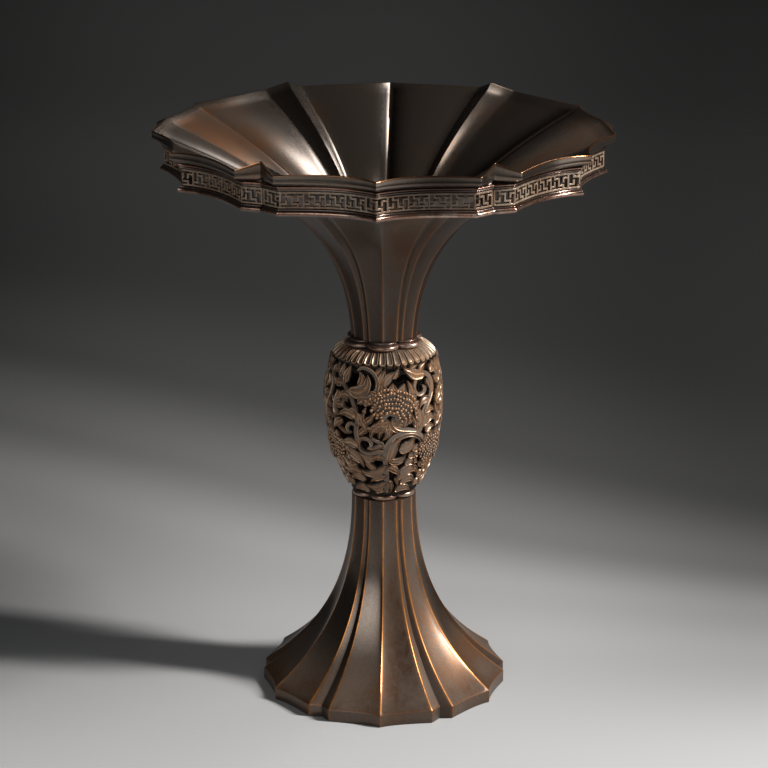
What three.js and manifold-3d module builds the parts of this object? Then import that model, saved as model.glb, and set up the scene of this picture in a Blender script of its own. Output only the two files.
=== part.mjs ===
// A bronze flower vase: a wide six-lobed dish on a fluted neck, which lifts off a pierced knop and a
// trumpet foot. A water liner hangs in the knop and lifts out once the dish is off.
// Millimetres, +Z up, origin at the centre of the foot's resting face, front lobe towards -Y.

import * as THREE from 'three';
import { mergeGeometries, mergeVertices } from 'three/addons/utils/BufferGeometryUtils.js';
import Module from 'manifold-3d';

const wasm = await Module();
wasm.setup();

// Lobed plan, shared by the foot, the collars, the neck and the dish
const lobeCount = 6;
const arrisAngle = 24.6; // from the cusp of a lobe to the arris of the groove beside it, in degrees
const hollowSteps = 4; // facets across the hollow between a cusp and an arris
const collarSteps = 6; // facets across one lobe of a collar

// Clearances
const seatGap = 0.3; // between pieces that rest on each other
const fitGap = 0.3; // round a spigot in its socket

// Foot
const footHeight = 106;
const footRadius = 65;
const footEdgeHeight = 6.9;
const footWall = 3;
const footBoreRadius = 8;
const footTenonWall = 3;
const footShoulder = 6.1; // from the tenon out to the cusps of the foot's top
const footWaistHandle = 45.3; // how far the foot runs straight down before it flares
const footToeHandle = 42.4;
const footToeSlope = 34.1; // degrees below level at the edge
const footTenonStop = 0.6; // left between the tenon's end and the top of the knop's floor

// Lower collar
const lowerCollarHeight = 3;
const lowerCollarLand = 3.1; // metal left between the bore and a notch
const lowerCollarNotch = 3.1;

// Pierced knop
const knopHeight = 70.6;
const knopWall = 3;
const knopFloor = 3.4;
const knopBaseLand = 7.2; // from the bore out to the knop's base edge
const knopBellyRadius = 31;
const knopBellyHeight = 46; // above the knop's base
const knopTopRadius = 28.3;
const knopHipHandle = 11.4;
const knopHipSlope = 61; // degrees above level at the base
const knopBellyHandle = 22;
const knopCrownHandle = 10;
const knopCrownSlope = 77; // degrees above level at the top edge

// Scroll pierced through the knop's wall, in cells round it and up it
const scrollColumns = 12;
const scrollRows = 3;
const scrollFacets = 2; // facets across one cell
const voluteFacets = 4;
const petalFacets = 2;
const scrollTurn = 8; // degrees from the front cusp to the first upper flower
const scrollFootBand = 5.5; // plain band below the scroll, measured along the profile
const scrollTopBand = 2.5;
const scrollRib = 1.8; // metal left between neighbouring gaps
const voluteGap = 3.6;
const voluteSweep = 235; // degrees that a volute's gap runs round its eye
const voluteStart = -95;
const flowerColumns = 4; // cells from one flower to the next in its row
const flowerPetals = 6;
const petalGap = 3.4;
const petalSweep = 48; // degrees that one gap runs round a flower

// Petal shoulder
const shoulderHeight = 7.5;
const shoulderSetback = 0.7;
const shoulderRegister = 2; // depth of the rim that locates it in the knop
const shoulderRoof = 2.5;
const petalCount = 48;
const petalNotch = 0.9;
const petalCrown = 0.3; // share of the run left at the middle of the petals' curve
const petalCrownRise = 0.72;

// Neck collar
const neckCollarHeight = 4;
const neckCollarLand = 2; // metal left between the liner's seat and a notch
const neckCollarNotch = 4.5;
const collarRound = 0.9; // rounding of a collar's upper and lower edge

// Water liner
const linerWall = 1;
const linerLength = 74; // below its flange
const linerFlangeWidth = 1.7;
const linerFlangeThickness = 1.2;
const linerFacets = 24;

// Dish and neck
const throatRadius = 9.7;
const spigotWall = 1.5;
const spigotLength = 12;
const neckWall = 7.5; // from the throat out to the cusps of the neck's foot
const dishWall = 2.6;
const neckTaper = 0.3; // share of the profile over which the neck thins to the dish's wall
const dishRise = 103.6; // from the seat to the lower edge of the lip
const lipRadius = 117.3;
const lipThickness = 3.8;
const lipCrestRise = 4.5; // the lip climbs by this much at each groove
const neckHandle = 47.4;
const neckSlope = 86; // degrees above level at the foot of the neck
const lipHandle = 80.5;
const lipSlope = 21.8;

// Flutes: depth of the hollow, setback of the arris from the cusp, and depth of the groove
const stemFlute = { hollow: 0.7, step: 0.2, groove: 1 };
const footFlute = { hollow: 2.65, step: 0.7, groove: 3.2 };
const lipFlute = { hollow: 7, step: 0.9, groove: 6.6 };
const apronFlute = { hollow: 7.4, step: 0.8, groove: 2.7 };

// Apron under the lip
const lipOverhang = 5.8; // the lip's cusps stand this far out from the fret
const corniceProud = 1;
const corniceWidth = 2.6;
const corniceHeight = 2.2; // at the cusps of its outer edge
const beadDepth = 4; // from the fret's face in to the back of the bead
const fretHeight = 8;
const fretThickness = 2;
const fretUnits = 11; // keys in one lobe, the middle one bent round the cusp
const fretRail = 1.1;
const fretBar = 1.4;
const fretSlot = 1.9;
const beadHeight = 3.4;
const beadProud = 1.9;
const beadFillet = 0.8;

// Heights of the stack, from the resting face up
const lowerCollarBase = footHeight + seatGap;
const knopBase = lowerCollarBase + lowerCollarHeight + seatGap;
const knopTop = knopBase + knopHeight;
const shoulderBase = knopTop + seatGap;
const shoulderTop = shoulderBase + shoulderHeight;
const neckCollarBase = shoulderTop + seatGap;
const neckCollarTop = neckCollarBase + neckCollarHeight;
const dishSeat = neckCollarTop + seatGap;
const lipUnderside = dishSeat + dishRise;
const lipTop = lipUnderside + lipThickness;

// Radii that fit one inside the other, from the axis out
const spigotRadius = throatRadius + spigotWall;
const linerBore = spigotRadius + fitGap;
const linerRadius = linerBore + linerWall;
const linerFlangeRadius = linerRadius + linerFlangeWidth;
const linerHole = linerRadius + fitGap;
const linerSeatRadius = linerFlangeRadius + fitGap;
const neckRadius = throatRadius + neckWall;
const neckCollarRadius = linerSeatRadius + neckCollarLand + neckCollarNotch;
const footTenonRadius = footBoreRadius + footTenonWall;
const footTopRadius = footTenonRadius + footShoulder;
const tenonHole = footTenonRadius + fitGap;
const lowerCollarRadius = tenonHole + lowerCollarLand + lowerCollarNotch;
const knopBaseRadius = tenonHole + knopBaseLand;
const fretRadius = lipRadius - lipOverhang;

const radians = THREE.MathUtils.degToRad;
const lerp = THREE.MathUtils.lerp;
const lobePitch = (2 * Math.PI) / lobeCount;
const arris = radians(arrisAngle);

// Columns of a fluted body: quarter points of each hollow, with a column on every cusp, arris and groove
function flutedAngles() {
  const half = [];
  for (let step = 0; step <= hollowSteps; step += 1) {
    half.push((arris * step) / hollowSteps);
  }
  const angles = [];
  for (let lobe = 0; lobe < lobeCount; lobe += 1) {
    const cusp = lobe * lobePitch;
    const before = half.slice(1).reverse();
    angles.push(cusp - lobePitch / 2);
    angles.push(...before.map((angle) => cusp - angle));
    angles.push(...half.map((angle) => cusp + angle));
  }
  return angles;
}

function evenAngles(count) {
  return Array.from({ length: count }, (_, column) => (2 * Math.PI * column) / count);
}

function angleFromCusp(angle) {
  return Math.abs(angle - lobePitch * Math.round(angle / lobePitch));
}

// How far a fluted outline lies inside its cusps
function fluteInset(angle, flute) {
  const away = angleFromCusp(angle);
  if (away <= arris) {
    const across = away / arris;
    return flute.step * across + flute.hollow * 4 * across * (1 - across);
  }
  return flute.step + flute.groove * grooveShare(angle);
}

// 0 up to an arris, 1 at the bottom of the groove
function grooveShare(angle) {
  return Math.max(0, (angleFromCusp(angle) - arris) / (lobePitch / 2 - arris));
}

// How far a collar's lobed outline lies inside the crown of its lobes
function lobeInset(angle, notch) {
  return notch * (angleFromCusp(angle) / (lobePitch / 2)) ** 2;
}

function mixFlutes(from, to, share) {
  return {
    hollow: lerp(from.hollow, to.hollow, share),
    step: lerp(from.step, to.step, share),
    groove: lerp(from.groove, to.groove, share),
  };
}

function weld(geometry) {
  geometry.deleteAttribute('normal');
  geometry.deleteAttribute('uv');
  return mergeVertices(geometry);
}

// A skin turned round the axis. Each station gives the radius and height of one profile point at an
// angle, and the stations run up the outside and down the inside.
function ringSkin(stations, angles) {
  const profile = stations.map((station) => station(angles[0]));
  const geometry = new THREE.LatheGeometry(profile, angles.length);
  const position = geometry.getAttribute('position');
  for (let index = 0; index < position.count; index += 1) {
    const column = Math.floor(index / profile.length) % angles.length;
    const point = stations[index % profile.length](angles[column]);
    const east = point.x * Math.sin(angles[column]);
    const south = point.x * Math.cos(angles[column]);
    position.setXYZ(index, east, -south, point.y);
  }
  return weld(geometry);
}

// A ring-shaped solid, whose profile closes on itself
function ringSolid(stations, angles) {
  return ringSkin([...stations, stations[0]], angles);
}

function roundStation(radius, height) {
  return () => new THREE.Vector2(radius, height);
}

function flutedStation(radius, height, flute) {
  return (angle) => new THREE.Vector2(radius - fluteInset(angle, flute), height);
}

function lobedStation(radius, height, notch) {
  return (angle) => new THREE.Vector2(radius - lobeInset(angle, notch), height);
}

// A point of a profile, moved square to the curve by a wall's thickness, to the left of its travel
function offsetPoint(curve, share, thickness) {
  const point = curve.getPoint(share);
  const travel = curve.getTangent(share);
  return new THREE.Vector2(point.x - travel.y * thickness, point.y + travel.x * thickness);
}

function polar(length, degrees) {
  return new THREE.Vector2(length, 0).rotateAround(new THREE.Vector2(), radians(degrees));
}

function curveBetween(start, startHandle, end, endHandle) {
  const leave = start.clone().add(startHandle);
  const arrive = end.clone().sub(endHandle);
  return new THREE.CubicBezierCurve(start, leave, arrive, end);
}

function shares(count) {
  return Array.from({ length: count + 1 }, (_, step) => step / count);
}

function toSolid(geometry) {
  const welded = weld(geometry);
  const mesh = new wasm.Mesh({
    numProp: 3,
    vertProperties: new Float32Array(welded.getAttribute('position').array),
    triVerts: new Uint32Array(welded.index.array),
  });
  return new wasm.Manifold(mesh);
}

function toGeometry(solid) {
  const mesh = solid.getMesh();
  const geometry = new THREE.BufferGeometry();
  geometry.setAttribute('position', new THREE.BufferAttribute(mesh.vertProperties, 3));
  geometry.setIndex(new THREE.BufferAttribute(mesh.triVerts, 1));
  return geometry;
}

const fluted = flutedAngles();

// Trumpet foot: fluted outside and inside, with a tenon that the lower collar and the knop sit on
const footSteps = 6;
const footHollowSteps = 4;
const footProfile = curveBetween(
  new THREE.Vector2(footRadius, footEdgeHeight),
  polar(footToeHandle, 180 - footToeSlope),
  new THREE.Vector2(footTopRadius, footHeight),
  polar(footWaistHandle, 90),
);

function footFluteAt(radius) {
  return mixFlutes(stemFlute, footFlute, (radius - footTopRadius) / (footRadius - footTopRadius));
}

function makeFoot() {
  const tenonTop = knopBase + knopFloor - footTenonStop;
  const outside = shares(footSteps).map((share) => {
    const point = footProfile.getPoint(share);
    return flutedStation(point.x, point.y, footFluteAt(point.x));
  });
  const inside = shares(footHollowSteps).map((share) => {
    const point = offsetPoint(footProfile, 1 - share, footWall);
    const radius = lerp(footBoreRadius, point.x, Math.min(1, share * footHollowSteps));
    const flute = share === 0 ? { hollow: 0, step: 0, groove: 0 } : footFluteAt(radius);
    return flutedStation(radius, point.y, flute);
  });
  return ringSolid(
    [
      flutedStation(footRadius, 0, footFlute),
      ...outside,
      roundStation(footTenonRadius, footHeight),
      roundStation(footTenonRadius, tenonTop),
      roundStation(footBoreRadius, tenonTop),
      ...inside,
      flutedStation(footRadius - footWall, 0, footFlute),
    ],
    fluted,
  );
}

// A lobed collar with rounded edges, bored for a tenon, with an optional seat for a flange in its top
function makeCollar({ base, height, radius, notch, bore, seatRadius, seatDepth }) {
  const top = base + height;
  const outside = [
    roundStation(bore, base),
    lobedStation(radius - collarRound, base, notch),
    lobedStation(radius, base + collarRound, notch),
    lobedStation(radius, top - collarRound, notch),
    lobedStation(radius - collarRound, top, notch),
  ];
  const seat = [
    roundStation(seatRadius, top),
    roundStation(seatRadius, top - seatDepth),
    roundStation(bore, top - seatDepth),
  ];
  const inside = seatDepth > 0 ? seat : [roundStation(bore, top)];
  return ringSolid([...outside, ...inside], evenAngles(lobeCount * collarSteps));
}

// Pierced knop: a floor, a wall of pierced cells and a rim, joined edge to edge into one round shell
const knopBelly = new THREE.Vector2(knopBellyRadius, knopBase + knopBellyHeight);
const knopProfile = new THREE.CurvePath();
knopProfile.add(
  curveBetween(
    new THREE.Vector2(knopBaseRadius, knopBase),
    polar(knopHipHandle, knopHipSlope),
    knopBelly,
    polar(knopBellyHandle, 90),
  ),
);
knopProfile.add(
  curveBetween(
    knopBelly,
    polar(knopCrownHandle, 90),
    new THREE.Vector2(knopTopRadius, knopTop),
    polar(knopCrownHandle, 180 - knopCrownSlope),
  ),
);
const knopLength = knopProfile.getLength();
const cellWidth = (2 * Math.PI * knopBellyRadius) / scrollColumns;
const cellHeight = (knopLength - scrollFootBand - scrollTopBand) / scrollRows;

// Distance along the profile, counted in rows from the foot of the scroll
function rowHeight(row) {
  return scrollFootBand + row * cellHeight;
}

// Bearing round the knop, counted in cells from the middle of the first one
function cellBearing(cell) {
  const turned = THREE.MathUtils.euclideanModulo(cell + 0.5, scrollColumns);
  return radians(scrollTurn) + (turned - 0.5) * ((2 * Math.PI) / scrollColumns);
}

function knopPoint(along, depth) {
  return offsetPoint(knopProfile, along / knopLength, depth);
}

function knopStation(along, depth) {
  const point = knopPoint(along, depth);
  return roundStation(point.x, point.y);
}

// The rings' columns meet the corners and facets of the cells
function knopAngles() {
  const columns = Array.from({ length: scrollColumns * scrollFacets }, (_, column) => column);
  return columns.map((column) => cellBearing(column / scrollFacets - 0.5));
}

function makeKnopFloor() {
  const floorTop = knopBase + knopFloor;
  return ringSkin(
    [
      knopStation(rowHeight(0), knopWall),
      roundStation(knopPoint(0, knopWall).x, floorTop),
      roundStation(tenonHole, floorTop),
      roundStation(tenonHole, knopBase),
      knopStation(0, 0),
      knopStation(rowHeight(0), 0),
    ],
    knopAngles(),
  );
}

function makeKnopRim() {
  return ringSkin(
    [
      knopStation(rowHeight(scrollRows), 0),
      knopStation(knopLength, 0),
      roundStation(knopTopRadius - knopWall, knopTop),
      knopStation(rowHeight(scrollRows), knopWall),
    ],
    knopAngles(),
  );
}

// A gap along an arc, pointed at both ends, in shares of a cell's width and height
function arcLeaf({ x, y, radius, start, sweep, width, steps }) {
  const points = [];
  const edge = (step, side) => {
    const angle = start + (sweep * step) / steps;
    const reach = radius + side * (width / 2) * Math.sin((Math.PI * step) / steps);
    const across = x + reach * Math.cos(angle);
    const up = y + reach * Math.sin(angle);
    return new THREE.Vector2(across / cellWidth, up / cellHeight);
  };
  for (let step = 0; step <= steps; step += 1) {
    points.push(edge(step, 1));
  }
  for (let step = steps - 1; step > 0; step -= 1) {
    points.push(edge(step, -1));
  }
  return new THREE.Path(points);
}

// Two volutes that curl out of one stem, in opposite corners of a cell. The hand is 1 or -1.
function scrollGaps(hand) {
  const reach = cellHeight / 4 - scrollRib / 2;
  const aside = cellWidth / 2 - scrollRib / 2 - reach;
  const upper = {
    x: hand * aside,
    y: cellHeight / 4,
    radius: reach - voluteGap / 2,
    start: hand > 0 ? radians(voluteStart) : Math.PI - radians(voluteStart),
    sweep: hand * radians(voluteSweep),
    width: voluteGap,
    steps: voluteFacets,
  };
  const lower = { ...upper, x: -upper.x, y: -upper.y, start: upper.start + Math.PI };
  return [arcLeaf(upper), arcLeaf(lower)];
}

// A flower stands inside a ring of gaps
function flowerGaps() {
  const radius = (cellWidth - scrollRib - petalGap) / 2;
  const sweep = radians(petalSweep);
  return evenAngles(flowerPetals).map((angle) => {
    const start = angle - sweep / 2;
    return arcLeaf({ x: 0, y: 0, radius, start, sweep, width: petalGap, steps: petalFacets });
  });
}

function isFlowerCell(row, column) {
  const upper = row === scrollRows - 1 && column % flowerColumns === 0;
  const lower = row === 0 && column % flowerColumns === flowerColumns / 2;
  return upper || lower;
}

// The front, back and hole walls of an extruded unit square, without the walls along its four edges
function withoutEdgeWalls(geometry) {
  const position = geometry.getAttribute('position');
  const kept = [];
  for (let first = 0; first < position.count; first += 3) {
    const corners = [first, first + 1, first + 2].map((index) => {
      return new THREE.Vector3().fromBufferAttribute(position, index);
    });
    const onEdge = ['x', 'y'].some((axis) => {
      const place = corners[0][axis];
      return Math.abs(place) === 0.5 && corners.every((corner) => corner[axis] === place);
    });
    if (!onEdge) {
      kept.push(...corners);
    }
  }
  return new THREE.BufferGeometry().setFromPoints(kept);
}

// A cell is pierced flat as a unit square, then bent round the knop and along its profile
function makeKnopCell(row, column) {
  const sides = shares(scrollFacets).map((share) => share - 0.5);
  const bottom = sides.map((across) => new THREE.Vector2(across, -0.5));
  const top = sides.map((across) => new THREE.Vector2(across, 0.5)).reverse();
  const cell = new THREE.Shape([...bottom, ...top]);
  const hand = (row + column) % 2 === 0 ? 1 : -1;
  cell.holes.push(...(isFlowerCell(row, column) ? flowerGaps() : scrollGaps(hand)));
  const geometry = withoutEdgeWalls(new THREE.ExtrudeGeometry(cell, { depth: 1, bevelEnabled: false }));
  const position = geometry.getAttribute('position');
  for (let index = 0; index < position.count; index += 1) {
    const along = rowHeight(row + 0.5 + position.getY(index));
    const point = knopPoint(along, knopWall * (1 - position.getZ(index)));
    const angle = cellBearing(column + position.getX(index));
    position.setXYZ(index, point.x * Math.sin(angle), -point.x * Math.cos(angle), point.y);
  }
  return geometry;
}

function makeKnop() {
  const skins = [makeKnopFloor().toNonIndexed(), makeKnopRim().toNonIndexed()];
  for (let row = 0; row < scrollRows; row += 1) {
    for (let column = 0; column < scrollColumns; column += 1) {
      skins.push(makeKnopCell(row, column));
    }
  }
  return weld(mergeGeometries(skins));
}

// Petal shoulder: a shallow roof of narrow petals, located in the knop by a rim below
function makeShoulder() {
  const registerRadius = knopTopRadius - knopWall - fitGap;
  const tip = knopTopRadius - shoulderSetback;
  const root = neckCollarRadius;
  const notchAt = (angle) => (petalNotch * (1 - Math.cos(petalCount * angle))) / 2;
  const crown = lerp(tip, root, petalCrown);
  const crownHeight = shoulderBase + shoulderHeight * petalCrownRise;
  return ringSolid(
    [
      roundStation(registerRadius, shoulderBase - shoulderRegister),
      roundStation(registerRadius, shoulderBase),
      (angle) => new THREE.Vector2(tip - notchAt(angle), shoulderBase),
      (angle) => new THREE.Vector2(crown - notchAt(angle), crownHeight),
      roundStation(root, shoulderTop),
      roundStation(linerHole, shoulderTop),
      roundStation(linerHole, shoulderTop - shoulderRoof),
    ],
    evenAngles(petalCount * 2),
  );
}

// Water liner: a thin cup that hangs by its flange
function makeLiner() {
  const flangeTop = neckCollarTop;
  const flangeBase = flangeTop - linerFlangeThickness;
  const bottom = flangeBase - linerLength;
  const profile = [
    new THREE.Vector2(0, bottom),
    new THREE.Vector2(linerRadius, bottom),
    new THREE.Vector2(linerRadius, flangeBase),
    new THREE.Vector2(linerFlangeRadius, flangeBase),
    new THREE.Vector2(linerFlangeRadius, flangeTop),
    new THREE.Vector2(linerBore, flangeTop),
    new THREE.Vector2(linerBore, bottom + linerWall),
    new THREE.Vector2(0, bottom + linerWall),
  ];
  const geometry = new THREE.LatheGeometry(profile, linerFacets);
  geometry.rotateX(Math.PI / 2);
  return weld(geometry);
}

// Dish and neck: a fluted trumpet with a vertical lip and a plain spigot below the seat
const dishSteps = 7;
const dishProfile = curveBetween(
  new THREE.Vector2(neckRadius, dishSeat),
  polar(neckHandle, neckSlope),
  new THREE.Vector2(lipRadius, lipUnderside),
  polar(lipHandle, lipSlope),
);

function dishFluteAt(radius) {
  return mixFlutes(stemFlute, lipFlute, (radius - neckRadius) / (lipRadius - neckRadius));
}

function dishStation(share) {
  const point = dishProfile.getPoint(share);
  return flutedStation(point.x, point.y, dishFluteAt(point.x));
}

// The inside follows the outside, and its crests climb towards the lip
function dishInnerStation(share) {
  const thinning = Math.max(0, 1 - share / neckTaper) ** 2;
  const thickness = lerp(dishWall, neckWall, thinning);
  const point = offsetPoint(dishProfile, share, thickness);
  const flute = dishFluteAt(dishProfile.getPoint(share).x);
  const rise = lipCrestRise * share ** 3;
  return (angle) => {
    const inset = fluteInset(angle, flute);
    return new THREE.Vector2(point.x - inset, point.y + rise * grooveShare(angle));
  };
}

function lipStation(angle) {
  const height = lipTop + lipCrestRise * grooveShare(angle);
  return new THREE.Vector2(lipRadius - fluteInset(angle, lipFlute), height);
}

function makeDish() {
  const spigotEnd = dishSeat - spigotLength;
  const steps = shares(dishSteps);
  return ringSolid(
    [
      roundStation(throatRadius, spigotEnd),
      roundStation(spigotRadius, spigotEnd),
      roundStation(spigotRadius, dishSeat),
      ...steps.map(dishStation),
      lipStation,
      ...steps.slice(1, -1).reverse().map(dishInnerStation),
      roundStation(throatRadius, dishSeat),
    ],
    fluted,
  );
}

// Height of the dish's underside near the lip
function undersideHeight(angle, radius) {
  const inner = dishStation((dishSteps - 1) / dishSteps)(angle);
  const outer = dishStation(1)(angle);
  return lerp(inner.y, outer.y, (radius - inner.x) / (outer.x - inner.x));
}

// Apron: a cornice cut to the dish's underside, six pierced panels, and a bead that closes them below
const corniceRadius = fretRadius + corniceProud;
const corniceBackRadius = corniceRadius - corniceWidth;
const beadBackRadius = fretRadius - beadDepth;
const corniceBase = undersideHeight(0, corniceRadius) - seatGap - corniceHeight;
const fretTop = corniceBase - seatGap;
const fretBase = fretTop - fretHeight;
const beadTop = fretBase - seatGap;
const beadBase = beadTop - beadHeight;

function underLipStation(radius) {
  return (angle) => {
    const at = radius - fluteInset(angle, apronFlute);
    return new THREE.Vector2(at, undersideHeight(angle, at) - seatGap);
  };
}

function makeCornice() {
  return ringSolid(
    [
      flutedStation(corniceBackRadius, corniceBase, apronFlute),
      flutedStation(corniceRadius, corniceBase, apronFlute),
      underLipStation(corniceRadius),
      underLipStation(corniceBackRadius),
    ],
    fluted,
  );
}

function makeBead() {
  const filletRadius = fretRadius + beadFillet;
  const beadRadius = fretRadius + beadProud;
  const filletBase = beadTop - beadFillet;
  return ringSolid(
    [
      flutedStation(beadBackRadius, beadBase, apronFlute),
      flutedStation(filletRadius, beadBase, apronFlute),
      flutedStation(beadRadius, (beadBase + filletBase) / 2, apronFlute),
      flutedStation(filletRadius, filletBase, apronFlute),
      flutedStation(filletRadius, beadTop, apronFlute),
      flutedStation(beadBackRadius, beadTop, apronFlute),
    ],
    fluted,
  );
}

// One key of the fret: a slot that runs along the top rail, down the middle and along the bottom rail
function keySlot(left, right) {
  const low = fretRail;
  const high = fretHeight - fretRail;
  const middle = (left + right) / 2;
  const slot = new THREE.Path();
  slot.moveTo(left, high);
  slot.lineTo(left, high - fretSlot);
  slot.lineTo(middle - fretSlot / 2, high - fretSlot);
  slot.lineTo(middle - fretSlot / 2, low);
  slot.lineTo(right, low);
  slot.lineTo(right, low + fretSlot);
  slot.lineTo(middle + fretSlot / 2, low + fretSlot);
  slot.lineTo(middle + fretSlot / 2, high);
  slot.closePath();
  return slot;
}

// A key is pierced flat, with its length measured round the fret's radius, then bent to the lobe
function makeFretKey(left, right) {
  const bends = [-arris * fretRadius, 0, arris * fretRadius];
  const edge = [left, ...bends.filter((bend) => bend > left && bend < right), right];
  const bottom = edge.map((length) => new THREE.Vector2(length, 0));
  const top = edge.map((length) => new THREE.Vector2(length, fretHeight)).reverse();
  const cell = new THREE.Shape([...bottom, ...top]);
  cell.holes.push(keySlot(left + fretBar / 2, right - fretBar / 2));
  const geometry = new THREE.ExtrudeGeometry(cell, { depth: fretThickness, bevelEnabled: false });
  const position = geometry.getAttribute('position');
  for (let index = 0; index < position.count; index += 1) {
    const angle = position.getX(index) / fretRadius;
    const back = fretThickness - position.getZ(index);
    const radius = fretRadius - back - fluteInset(angle, apronFlute);
    const height = fretBase + position.getY(index);
    position.setXYZ(index, radius * Math.sin(angle), -radius * Math.cos(angle), height);
  }
  return toSolid(geometry);
}

// A panel joins the keys of one lobe, and its ends stand clear of the next panels in the grooves
function makeFretPanel() {
  const halfLength = (fretRadius * lobePitch - seatGap) / 2;
  const bars = shares(fretUnits).map((share) => lerp(-halfLength, halfLength, share));
  const keys = bars.slice(1).map((bar, unit) => makeFretKey(bars[unit], bar));
  return toGeometry(keys.reduce((panel, key) => panel.add(key)));
}

// Finishes
function bronze(color, roughness) {
  return new THREE.MeshStandardMaterial({ color, roughness, metalness: 0.85 });
}

const darkPatina = 0x2e211a;
const warmPatina = 0x4a3020;
const rubbedPatina = 0x5c3b22;
const linerTone = 0x241c18;

function addPiece(group, name, geometry, color, roughness) {
  const mesh = new THREE.Mesh(geometry, bronze(color, roughness));
  mesh.name = name;
  group.add(mesh);
  return mesh;
}

const vase = new THREE.Group();

addPiece(vase, 'foot', makeFoot(), darkPatina, 0.36);
const lowerCollar = makeCollar({
  base: lowerCollarBase,
  height: lowerCollarHeight,
  radius: lowerCollarRadius,
  notch: lowerCollarNotch,
  bore: tenonHole,
  seatRadius: tenonHole,
  seatDepth: 0,
});
addPiece(vase, 'lower_collar', lowerCollar, warmPatina, 0.4);
addPiece(vase, 'knop_openwork', makeKnop(), rubbedPatina, 0.45);
addPiece(vase, 'petal_shoulder', makeShoulder(), warmPatina, 0.42);
const neckCollar = makeCollar({
  base: neckCollarBase,
  height: neckCollarHeight,
  radius: neckCollarRadius,
  notch: neckCollarNotch,
  bore: linerHole,
  seatRadius: linerSeatRadius,
  seatDepth: linerFlangeThickness + seatGap,
});
addPiece(vase, 'neck_collar', neckCollar, warmPatina, 0.4);
addPiece(vase, 'water_liner', makeLiner(), linerTone, 0.55);
addPiece(vase, 'mouth_dish', makeDish(), darkPatina, 0.34);
addPiece(vase, 'rim_cornice', makeCornice(), darkPatina, 0.4);
for (let lobe = 0; lobe < lobeCount; lobe += 1) {
  const panel = addPiece(vase, `fret_panel_${lobe + 1}`, makeFretPanel(), rubbedPatina, 0.42);
  panel.rotation.z = lobe * lobePitch;
}
addPiece(vase, 'rim_base_bead', makeBead(), warmPatina, 0.4);

export default vase;
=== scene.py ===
# Bronze flower vase: fluted dish and foot, pierced fret apron and carved knop, dressed over the frame
import math
from bisect import bisect_right
import bmesh
import bpy
from mathutils import Matrix, Vector, noise
from mathutils.geometry import interpolate_bezier


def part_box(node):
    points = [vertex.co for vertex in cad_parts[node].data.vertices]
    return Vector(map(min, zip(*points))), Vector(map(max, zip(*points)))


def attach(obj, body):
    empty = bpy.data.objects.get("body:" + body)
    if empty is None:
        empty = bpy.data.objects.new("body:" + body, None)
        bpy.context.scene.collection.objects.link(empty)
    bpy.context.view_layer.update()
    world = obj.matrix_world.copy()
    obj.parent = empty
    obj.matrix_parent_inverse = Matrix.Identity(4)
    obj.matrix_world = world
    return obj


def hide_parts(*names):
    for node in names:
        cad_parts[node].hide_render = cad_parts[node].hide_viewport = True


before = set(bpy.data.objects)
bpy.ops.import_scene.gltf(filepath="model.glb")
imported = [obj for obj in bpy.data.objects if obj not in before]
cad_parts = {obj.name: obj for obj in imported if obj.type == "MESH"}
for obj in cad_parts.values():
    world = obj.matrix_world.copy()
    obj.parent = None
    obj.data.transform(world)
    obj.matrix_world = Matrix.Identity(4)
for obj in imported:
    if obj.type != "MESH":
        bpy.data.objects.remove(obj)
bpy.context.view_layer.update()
mm = 0.001
print("frame loaded:", len(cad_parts), "nodes")


# Sizes read from the frame, in millimetres
def nodeBox(node):
    low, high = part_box(node)
    return low / mm, high / mm


footHigh = nodeBox("foot")[1]
lowerLow, lowerHigh = nodeBox("lower_collar")
knopLow, knopHigh = nodeBox("knop_openwork")
shoulderLow, shoulderHigh = nodeBox("petal_shoulder")
neckLow, neckHigh = nodeBox("neck_collar")
linerLow, linerHigh = nodeBox("water_liner")
dishLow, dishHigh = nodeBox("mouth_dish")
corniceLow = nodeBox("rim_cornice")[0]
fretLow, fretHigh = nodeBox("fret_panel_1")
beadLow, beadHigh = nodeBox("rim_base_bead")

# Lobed plan shared by every fluted piece, angles in degrees from the front cusp
lobes = {
    "count": 6, "pitch": 60.0,
    "arris": 24.6,  # from a cusp to the arris beside the groove
    "skew": 0.85,  # pulls the deepest part of a hollow towards the cusp
    "hollowColumns": 14, "grooveColumns": 6,
}
halfLobe = lobes["pitch"] / 2
grooveHalf = halfLobe - lobes["arris"]
stemFlute = {"hollow": 0.7, "step": 0.2, "groove": 1.0}
seatGap = 0.3  # left between neighbouring pieces
tiny = 0.001


def easedSteps(start, end, count):
    reach = end - start
    return [start + reach * (1 - math.cos(math.pi * step / count)) / 2 for step in range(count + 1)]


# Columns crowd towards the cusps, arrises and grooves
def lobeTurns():
    half = easedSteps(0, lobes["arris"], lobes["hollowColumns"])
    half += easedSteps(lobes["arris"], halfLobe, lobes["grooveColumns"])[1:]
    turns = []
    for lobe in range(lobes["count"]):
        cusp = lobe * lobes["pitch"]
        turns += [cusp - away for away in reversed(half[1:-1])]
        turns += [cusp + away for away in half]
    return turns


def evenTurns(count):
    return [360 * column / count for column in range(count)]


def awayFromCusp(turn):
    return abs((turn + halfLobe) % lobes["pitch"] - halfLobe)


# Degrees from the middle of the nearest groove, less than 0 on its left wall
def acrossGroove(turn):
    return turn % lobes["pitch"] - halfLobe


def grooveShare(turn):
    return max(0.0, (awayFromCusp(turn) - lobes["arris"]) / grooveHalf)


def hollowShare(turn):
    across = min(1.0, awayFromCusp(turn) / lobes["arris"]) ** lobes["skew"]
    return 4 * across * (1 - across)


# How far a fluted outline lies inside its cusps
def fluteInset(turn, flute):
    step = flute["step"] * min(1.0, awayFromCusp(turn) / lobes["arris"])
    return step + flute["hollow"] * hollowShare(turn) + flute["groove"] * grooveShare(turn)


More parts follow.
